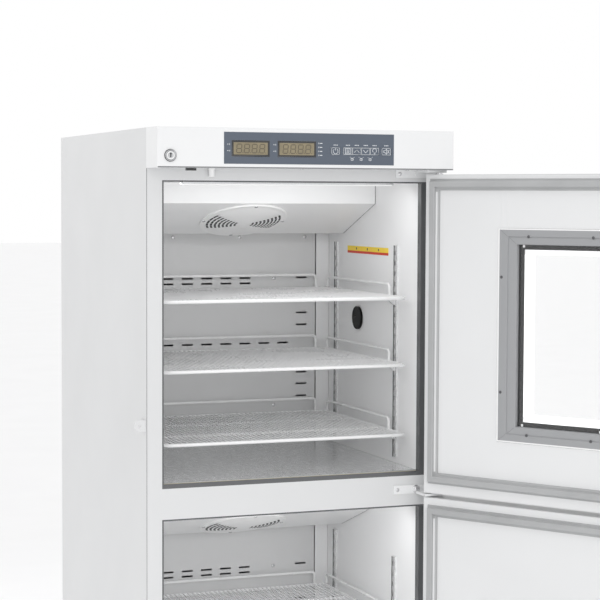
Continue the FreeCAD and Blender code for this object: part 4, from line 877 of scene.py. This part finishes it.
def makeDisplays():
    panes = sorted(islandBoxes("display_windows"), key=lambda item: item[1].x)
    rims, fields, bars = bmesh.new(), bmesh.new(), bmesh.new()
    rim, skin = displayLook["rim"], displayLook["skin"]
    step = rim + displayLook["rimStep"]
    for lump, low, high in panes:
        front = low.y
        mitredFrame(rims, (low.x, low.z), (high.x, high.z), front,
                    [(0.05, 0.0), (0.05, -0.12), (0.3, -0.2), (rim, -0.2), (step, -0.05),
                     (step, 0.0)])
        left, right, foot, top = sidesOf(low, high, displayLook["fieldInset"])
        slab(fields, roundedOutline(left, right, foot, top, 0.8),
             front - displayLook["fieldLift"], skin)
        front -= displayLook["barLift"]
        middle, height = (left + right) / 2, (foot + top) / 2
        for k in range(displayLook["digits"]):
            cx = middle + (k - (displayLook["digits"] - 1) / 2) * displayLook["pitch"]
            for outline in digitBars(cx, height):
                slab(bars, outline, front, skin)
            across, up = displayLook["dotAt"]
            slab(bars, arc(cx + across, height + up, displayLook["dotRadius"], 0, 330, 11),
                 front, skin)
    settle(rims, "displayRims", "borderInk", "cabinet")
    settle(fields, "displayFields", "displayField", "cabinet")
    settle(bars, "displayDigits", "displayBars", "cabinet")


printKeys()
printOverlay()
makeDisplays()
print("control panel printed")


lockLook = {
    "ring": [(11.0, 0.0), (11.25, -0.5), (10.9, -1.1), (10.0, -1.5), (8.9, -1.2), (8.6, -0.5),
             (8.6, 0.0)],
    "face": [(8.3, 0.0), (8.3, -0.35), (7.9, -0.6), (5.7, -0.6), (5.4, -0.3), (5.4, 0.0)],
    "gasket": [(12.0, 1.8), (12.0, 1.2), (11.6, 0.9), (11.0, 0.9), (11.0, 1.8)],
    # groove: a dark ring in the gap between ring and face, painted shade in the groove
    "groove": [(8.9, 0.05), (8.9, -0.2), (8.1, -0.2), (8.1, 0.05)],
    # keyholeShade: a dark plate over the key slot, painted shade in the keyhole
    "keyholeShade": (1.3, 3.6, 2.1),  # half width, half height, radius of the round end
}


def makeLockFace():
    low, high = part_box("lock_barrel")
    centre = ((low.x + high.x) / 2, low.y, (low.z + high.z) / 2)
    for name, part, finish, slot in (("lockRing", "ring", "lockChrome", "bright_metal"),
                                     ("lockEnamel", "face", "headPaint", "white_panel"),
                                     ("lockGasket", "gasket", "rubber", "black_rubber"),
                                     ("lockGrooveShade", "groove", "jointInkAndShade",
                                      "black_border")):
        bm = bmesh.new()
        turned(bm, lockLook[part], centre)
        settle(bm, name, finish, "cabinet", creased=30)
    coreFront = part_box("key_core")[0].y
    x, z = middleOf(low, high)
    half, tall, bulb = lockLook["keyholeShade"]
    # dark plate larger than the slot, with a round top: painted shade in the keyhole
    bm = bmesh.new()
    slab(bm, roundedOutline(x - half, x + half, z - tall, z + tall, 1.2),
         coreFront - 0.00008, 0.00006)
    slab(bm, arc(x, z + tall - 0.4, bulb, 0, 340, 17), coreFront - 0.0001, 0.00006)
    settle(bm, "keyholeShade", "jointInkAndShade", "lock_key_core")


lampLook = {  # metres
    "half": 0.225, "front": 0.034, "deep": 0.024, "tall": 0.0052,
    "skin": 0.0012, "roof": 0.0008, "play": 0.0014, "drop": 0.0001, "endGap": 0.002,
    "cover": {"colour": (0.88, 0.88, 0.87), "rough": 0.4, "peel": 0.02},
    "glow": 0.35, "watts": 0.5, "tilt": 22,
}


def lampSections():
    # cross sections of the tray and of its domed cover, as (depth, height)
    front, tall, skin = lampLook["front"], lampLook["tall"], lampLook["skin"]
    back = front + lampLook["deep"]
    lip, roof = -tall * 0.7, -lampLook["roof"]
    tray = [(front, 0), (front, lip), (front + skin, lip), (front + skin, roof),
            (back - skin, roof), (back - skin, lip), (back, lip), (back, 0)]
    middle, reach = (front + back) / 2, lampLook["deep"] / 2 - lampLook["play"]
    dome = [(middle - reach * math.cos(math.pi * k / 8),
             -tall * (0.3 + 0.7 * math.sin(math.pi * k / 8))) for k in range(9)]
    return tray, dome, middle


def makeChamberLamps():
    # a slim strip with a domed cover under each chamber's ceiling, just behind the frame
    half, gap = lampLook["half"], lampLook["endGap"]
    tray, dome, middle = lampSections()
    ceilings = sorted((high.z for lump, low, high in islandBoxes("fan_hoods")), reverse=True)
    for name, ceiling in zip(("upper", "lower"), ceilings):
        for part, section, reach, finish, slot in (
                ("LampTray", tray, half, "finAluminium", "fin_aluminium"),
                ("LampCover", dome, half - gap, "lampCover", "white_panel")):
            bm = bmesh.new()
            loops(bm, [[(x, y, ceiling - lampLook["drop"] + z) for y, z in section]
                       for x in (-reach, reach)], caps=True)
            settle(bm, name + part, finish, "cabinet")
        glow = bpy.data.lights.new(name + "ChamberGlow", "AREA")
        glow.shape = "RECTANGLE"
        glow.size, glow.size_y = 2 * half, lampLook["deep"]
        glow.energy = lampLook["watts"]
        holder = placeItem(name + "ChamberGlow", glow)
        holder.location = (0, middle, ceiling - lampLook["tall"] - 0.001)
        holder.rotation_euler = (math.radians(lampLook["tilt"]), 0, 0)
        holder.visible_camera = False


def lampCoverFinish(name):
    # opal cover, faintly uneven where the diodes sit behind it
    finish = plainPaint(name, lampLook["cover"])
    tree = finish.node_tree
    waves = addNode(tree, "ShaderNodeTexWave", {"Vector": spotOn(tree), "Scale": 34})
    glow = blendColours(tree, waves.outputs["Fac"], (0.92, 0.95, 1.0), (1.0, 1.0, 1.0))
    feed(tree.nodes["Principled BSDF"], {
        "Emission Color": glow, "Emission Strength": lampLook["glow"]})
    return finish


finishes["lampCover"] = lampCoverFinish("lampCover")


def thinDirection(points):
    # the direction in which a disc is thinnest, pointing out of the cabinet
    cloud = numpy.array([tuple(p) for p in points])
    values, directions = numpy.linalg.eigh(numpy.cov((cloud - cloud.mean(0)).T))
    out = Vector(directions[:, 0])
    return out if out.dot(Vector((0, -1, -0.5))) > 0 else -out


screwLook = {
    # head from rim to crown as (share of radius, share of height), then the cross recess
    "crown": [(1.0, 0.02), (1.0, 0.35), (0.93, 0.62), (0.78, 0.84), (0.55, 0.97), (0.3, 1.0)],
    "sides": 24,
    "arm": 0.26, "notch": 0.13, "crossTop": 0.98, "crossFoot": 0.45, "taper": 0.75,
}


def screwHead(radius, tall):
    part = bmesh.new()
    sides = screwLook["sides"]
    turns = [2 * math.pi * k / sides for k in range(sides)]
    made = loops(part, [[(*onCircle(radius * r, turn), tall * t) for turn in turns]
                        for r, t in screwLook["crown"]])
    star = []
    for k, turn in enumerate(turns):
        reach = radius * screwLook["arm" if k % 6 in (0, 1, 5) else "notch"]
        star.append(part.verts.new((*onCircle(reach, turn), tall * screwLook["crossTop"])))
    taper, foot = screwLook["taper"], tall * screwLook["crossFoot"]
    deep = [part.verts.new((v.co.x * taper, v.co.y * taper, foot)) for v in star]
    for first, second in ((made[-1], star), (star, deep)):
        for k in range(sides):
            j = (k + 1) % sides
            part.faces.new((first[k], first[j], second[j], second[k]))
    part.faces.new(deep[::-1])
    part.faces.new(made[0][::-1])
    return part


def makeScrews(node, name, body, finish):
    # pan heads with a cross recess, one on each plain disc
    bm = bmesh.new()
    for lump, low, high in islandBoxes(node):
        out = thinDirection(lump)
        centre = sum(lump, Vector()) / len(lump)
        depths = [(p - centre).dot(out) for p in lump]
        radius = max(((p - centre) - out * (p - centre).dot(out)).length for p in lump)
        addPart(bm, screwHead(radius, max(depths) - min(depths)),
                standOn(centre + out * min(depths), out))
    heads = settle(bm, name, finish, body, creased=40)
    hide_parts(node)


coverLook = {"gap": 2.4, "wide": 5.0, "skin": 1.0, "endGap": 0.2}


def makeCornerCovers():
    # bent strips that close the corners beside the air duct, both chambers
    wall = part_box("fan_hoods")[1].x
    skin, endGap = coverLook["skin"] * mm, coverLook["endGap"] * mm
    bm = bmesh.new()
    for lump, low, high in islandBoxes("duct_panels"):
        heel = low.y + coverLook["wide"] * mm
        for side in (-1, 1):
            start = side * (high.x + coverLook["gap"] * mm)
            plan = [(start, low.y), (side * wall, heel), (side * wall, heel + skin),
                    (start, low.y + skin)]
            loops(bm, [[(x, y, z) for x, y in plan]
                       for z in (low.z + endGap, high.z - endGap)], caps=True)
    settle(bm, "cornerCovers", "coverPaint", "cabinet")


def makeMarkerDots():
    low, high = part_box("marker_strip")
    middle = (low.y + high.y) / 2 / mm
    height = (low.z + high.z) / 2 / mm + stripLook["dotRise"]
    front = low.x - 0.0001
    bm = bmesh.new()
    for along in stripLook["dots"]:
        outline = arc(middle + along, height, stripLook["dotRadius"], 0, 340, 17)
        loops(bm, [[(x, a * mm, b * mm) for a, b in outline]
                   for x in (front, front + 0.00008)], caps=True)
    settle(bm, "markerDots", "jointInkAndShade", "cabinet")


lipLook = {  # mm, from the dark frame's left, right, foot and top
    "outer": (-0.9, 6.0, -3.4, 0.8), "inner": (2.2, -5.5, 6.0, -2.2),
    "proud": 0.25, "soft": 0.12,
}


def makeBreakerLips():
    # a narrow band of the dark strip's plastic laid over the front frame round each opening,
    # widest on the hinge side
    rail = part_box("front_rails")[0].y
    proud, softness = lipLook["proud"], lipLook["soft"]
    bm = bmesh.new()
    for lump, low, high in islandBoxes("breaker_frames"):
        front = min(rail, low.y) - proud * mm
        outer, inner = (
            rectangle(*(side + by for side, by in zip(sidesOf(low, high), lipLook[part])))
            for part in ("outer", "inner"))
        rings = []
        for corner in (0, 1, 2, 3, 0):
            a, b = outer[corner], inner[corner]
            soft = [a[k] + (b[k] - a[k]) * softness for k in (0, 1)]
            rings.append([(x * mm, front + deep * mm, z * mm) for (x, z), deep in (
                (a, proud), (soft, 0.0), (b, 0.0), (b, proud))])
        loops(bm, rings)
    settle(bm, "breakerLips", "breakerPlastic", "cabinet", creased=25)


# dark painted shade lines at the cabinet's corners, the head's foot and the hoods' ends
shadeLineLook = {  # mm, and the skin in metres
    "corner": 1.1, "cornerInset": 0.9, "cornerGap": 1.0, "hood": 0.9,
    "headFoot": (0.1, 2.4), "headInset": 2.0, "skin": 0.00012,
}


def plate(bm, left, right, foot, top, front):
    slab(bm, rectangle(left, right, foot, top), front - shadeLineLook["skin"], shadeLineLook["skin"])


def makeShadeLines():
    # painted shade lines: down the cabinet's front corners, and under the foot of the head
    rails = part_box("front_rails")[0]
    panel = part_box("left_side_panel")[0]
    headLow, headHigh = (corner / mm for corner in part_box("head_bezel"))
    bm = bmesh.new()
    half, gap = shadeLineLook["corner"] / 2, shadeLineLook["cornerGap"]
    for side in (-1, 1):
        x = side * (abs(panel.x) / mm - shadeLineLook["cornerInset"])
        plate(bm, x - half, x + half, rails.z / mm + gap, headLow.z - gap,
              min(rails.y, panel.y))
    settle(bm, "cornerShadeLines", "edgeShade", "cabinet")
    bm = bmesh.new()
    low, high = shadeLineLook["headFoot"]
    plate(bm, headLow.x + shadeLineLook["headInset"], headHigh.x - shadeLineLook["headInset"],
          headLow.z + low, headLow.z + high, headLow.y * mm)
    settle(bm, "headFootShade", "edgeShade", "cabinet")


def makeHoodShadeLines():
    # dark line along the right end of each hood where it meets the wall, a joint with painted
    # shade in it: down its front edge, then its slope
    wide, skin = shadeLineLook["hood"] * mm, shadeLineLook["skin"]
    bm = bmesh.new()
    for lump, low, high in islandBoxes("fan_hoods"):
        front, x = low.y, high.x
        edge = min(p.z for p in lump if abs(p.y - front) < 0.0006)
        head, foot = Vector((0, front, high.z - 0.001)), Vector((0, front, edge))
        deepest = min(lump, key=lambda p: (round(p.z, 4), p.y))
        heel = Vector((0, deepest.y, deepest.z))
        for start, stop, out in ((head, foot, Vector((0, -1, 0))),
                                 (foot, heel, Vector((0, -0.35, -0.94)))):
            rings = []
            for spot in (start, stop):
                near = spot + out * skin
                rings.append([(x - wide, near.y, near.z), (x + 0.0001, near.y, near.z),
                              (x + 0.0001, spot.y, spot.z), (x - wide, spot.y, spot.z)])
            loops(bm, rings, caps=True)
    settle(bm, "hoodEndShadeLines", "edgeShade", "cabinet")


shadeDiscLook = {
    # a dark disc just behind each fan guard, painted shade seen through the slots: radius, depth
    # behind the guard, in mm
    "outline": [(0, 1.5), (26, 1.45), (52, 1.3), (76, 1.1), (79, 0.4), (80.6, 0.4), (80.6, 1.5),
                (77.5, 2.0), (52, 2.0), (0, 2.1)],
}


def guardSeats():
    # for each fan, lower first: where its guard stands on the hood, and which way it points
    guards = sorted(islandBoxes("fan_guards"), key=lambda item: item[1].z)
    seats = []
    for name, (lump, low, high) in zip(("lower_fan_spin", "upper_fan_spin"), guards):
        out = thinDirection(lump)
        pin = jointPin(name)
        seats.append((pin + out * min((p - pin).dot(out) for p in lump), out))
    return seats


def makeSlotShadeDiscs():
    # dark discs behind the guards: painted shade in the slots
    bm = bmesh.new()
    for seat, out in guardSeats():
        part = bmesh.new()
        turned(part, [(radius, -deep) for radius, deep in shadeDiscLook["outline"]], (0, 0, 0),
               "Z", 64)
        addPart(bm, part, standOn(seat, out))
    settle(bm, "slotShadeDiscs", "rubber", "cabinet", creased=25)


postLook = {
    "lines": [(0.6, 5.6), (14.4, 15.6)],  # from the post's rear edge, mm
    "skin": (0.00001, 0.0001), "endGap": 0.0003, "shortest": 0.3,  # metres
}


def makePostEdgeShades():
    # dark mottled strips down both edges of every shelf post: painted shade and shadow
    bm = bmesh.new()
    for lump, low, high in islandBoxes("shelf_posts"):
        if high.z - low.z < postLook["shortest"]:
            continue
        wall, away = (low.x, -1) if low.x > 0 else (high.x, 1)
        near, far = (wall + away * skin for skin in postLook["skin"])
        for start, stop in postLook["lines"]:
            y0, y1 = high.y - start * mm, high.y - stop * mm
            loops(bm, [[(near, y0, z), (far, y0, z), (far, y1, z), (near, y1, z)]
                       for z in (low.z + postLook["endGap"], high.z - postLook["endGap"])],
                  caps=True)
    settle(bm, "postEdgeShadeLines", "postEdgeShade", "cabinet")


dashLook = {
    # dark shadows in the guard's ring slots, in mm and degrees
    "first": 17.8, "pitch": 8.5, "wide": 4.4, "rows": 8, "half": 30, "dashes": 5, "gap": 1.6,
    "lift": (0.02, 0.08),  # under and upper face over the guard's dome
    "dome": [(0, 11), (33.25, 10.1), (58.9, 8.0), (79.8, 4.7), (85.5, 3.5)],
}


def domeHeight(radius):
    spots = dashLook["dome"]
    for (r0, h0), (r1, h1) in zip(spots, spots[1:]):
        if radius <= r1:
            return h0 + (h1 - h0) * (radius - r0) / (r1 - r0)
    return spots[-1][1]


def shadeDash(bm, seat, out, inner, start, stop):
    # one curved dash on a guard, from one angle to another
    across = Vector((1, 0, 0))
    along = out.cross(across)
    outer = inner + dashLook["wide"]
    under, upper = dashLook["lift"]
    rings = []
    for angle in (start, (start + stop) / 2, stop):
        turn = math.radians(angle)
        way = across * math.cos(turn) + along * math.sin(turn)
        rings.append([seat + (way * radius + out * (domeHeight(radius) + lift)) * mm
                      for radius, lift in ((inner, under), (inner, upper), (outer, upper),
                                           (outer, under))])
    loops(bm, rings, caps=True)


def makeSlotShades():
    bm = bmesh.new()
    half, gap = dashLook["half"], dashLook["gap"]
    step = 2 * half / dashLook["dashes"]
    for seat, out in guardSeats():
        for middle in (0, 180):
            for row in range(dashLook["rows"]):
                for dash in range(dashLook["dashes"]):
                    start = middle - half + dash * step + gap / 2
                    shadeDash(bm, seat, out, dashLook["first"] + row * dashLook["pitch"],
                              start, start + step - gap)
    settle(bm, "slotShades", "jointInkAndShade", "cabinet", creased=30)


collarLook = [(8.6, -0.1), (8.6, -1.5), (6.6, -1.7), (6.6, -6.6), (8.6, -6.8), (8.6, -8.2),
              (5.2, -8.2)]


def makeTopCollar():
    # bright sleeve round the pin between the head and the upper door
    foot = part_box("head_bezel")[0].z
    bm = bmesh.new()
    turned(bm, collarLook, (upperPin.x, upperPin.y, foot), "Z", 40)
    settle(bm, "topHingeCollar", "brightScrew", "cabinet", creased=30)


boltLook = {"away": 42.0, "radius": 6.6, "tall": 4.6, "washer": 8.6, "washerTall": 1.0,
            "socket": 2.4}  # mm, away from the plain screw discs


def makeHingeBolts():
    # domed bolts with washers on the hinge plates
    bm = bmesh.new()
    screws = [item for item in islandBoxes("panel_screws")
              if item[1].y < -0.001 and item[1].x > 0.2 and item[2].z < 1.2]
    wide, seat, tall = boltLook["washer"], -boltLook["washerTall"], boltLook["tall"]
    radius, socket = boltLook["radius"], boltLook["socket"]
    outline = [(wide, 0.0), (wide, -0.6), (wide - 0.5, seat), (radius, seat),
               (radius, seat - tall * 0.5), (radius - 1.2, seat - tall * 0.85),
               (radius - 3.0, seat - tall), (socket, seat - tall),
               (socket - 0.2, -tall * 0.6), (0.01, -tall * 0.6)]
    for lump, low, high in screws:
        turned(bm, outline, ((low.x + high.x) / 2 + boltLook["away"] * mm, high.y,
                             (low.z + high.z) / 2), "Y", 32)
    settle(bm, "hingeBolts", "brightScrew", "cabinet", creased=35)


makeLockFace()
makeBreakerLips()
makeShadeLines()
makeHoodShadeLines()
makeSlotShadeDiscs()
makeSlotShades()
makePostEdgeShades()
makeHingeBolts()
makeTopCollar()
makeCornerCovers()
makeMarkerDots()
makeChamberLamps()
makeScrews("panel_screws", "crossHeadScrews", "cabinet", "brightScrew")
makeScrews("upper_door_frame_screws", "windowScrews", "upper_door", "frameScrew")
print("lock, lamps and screws made")
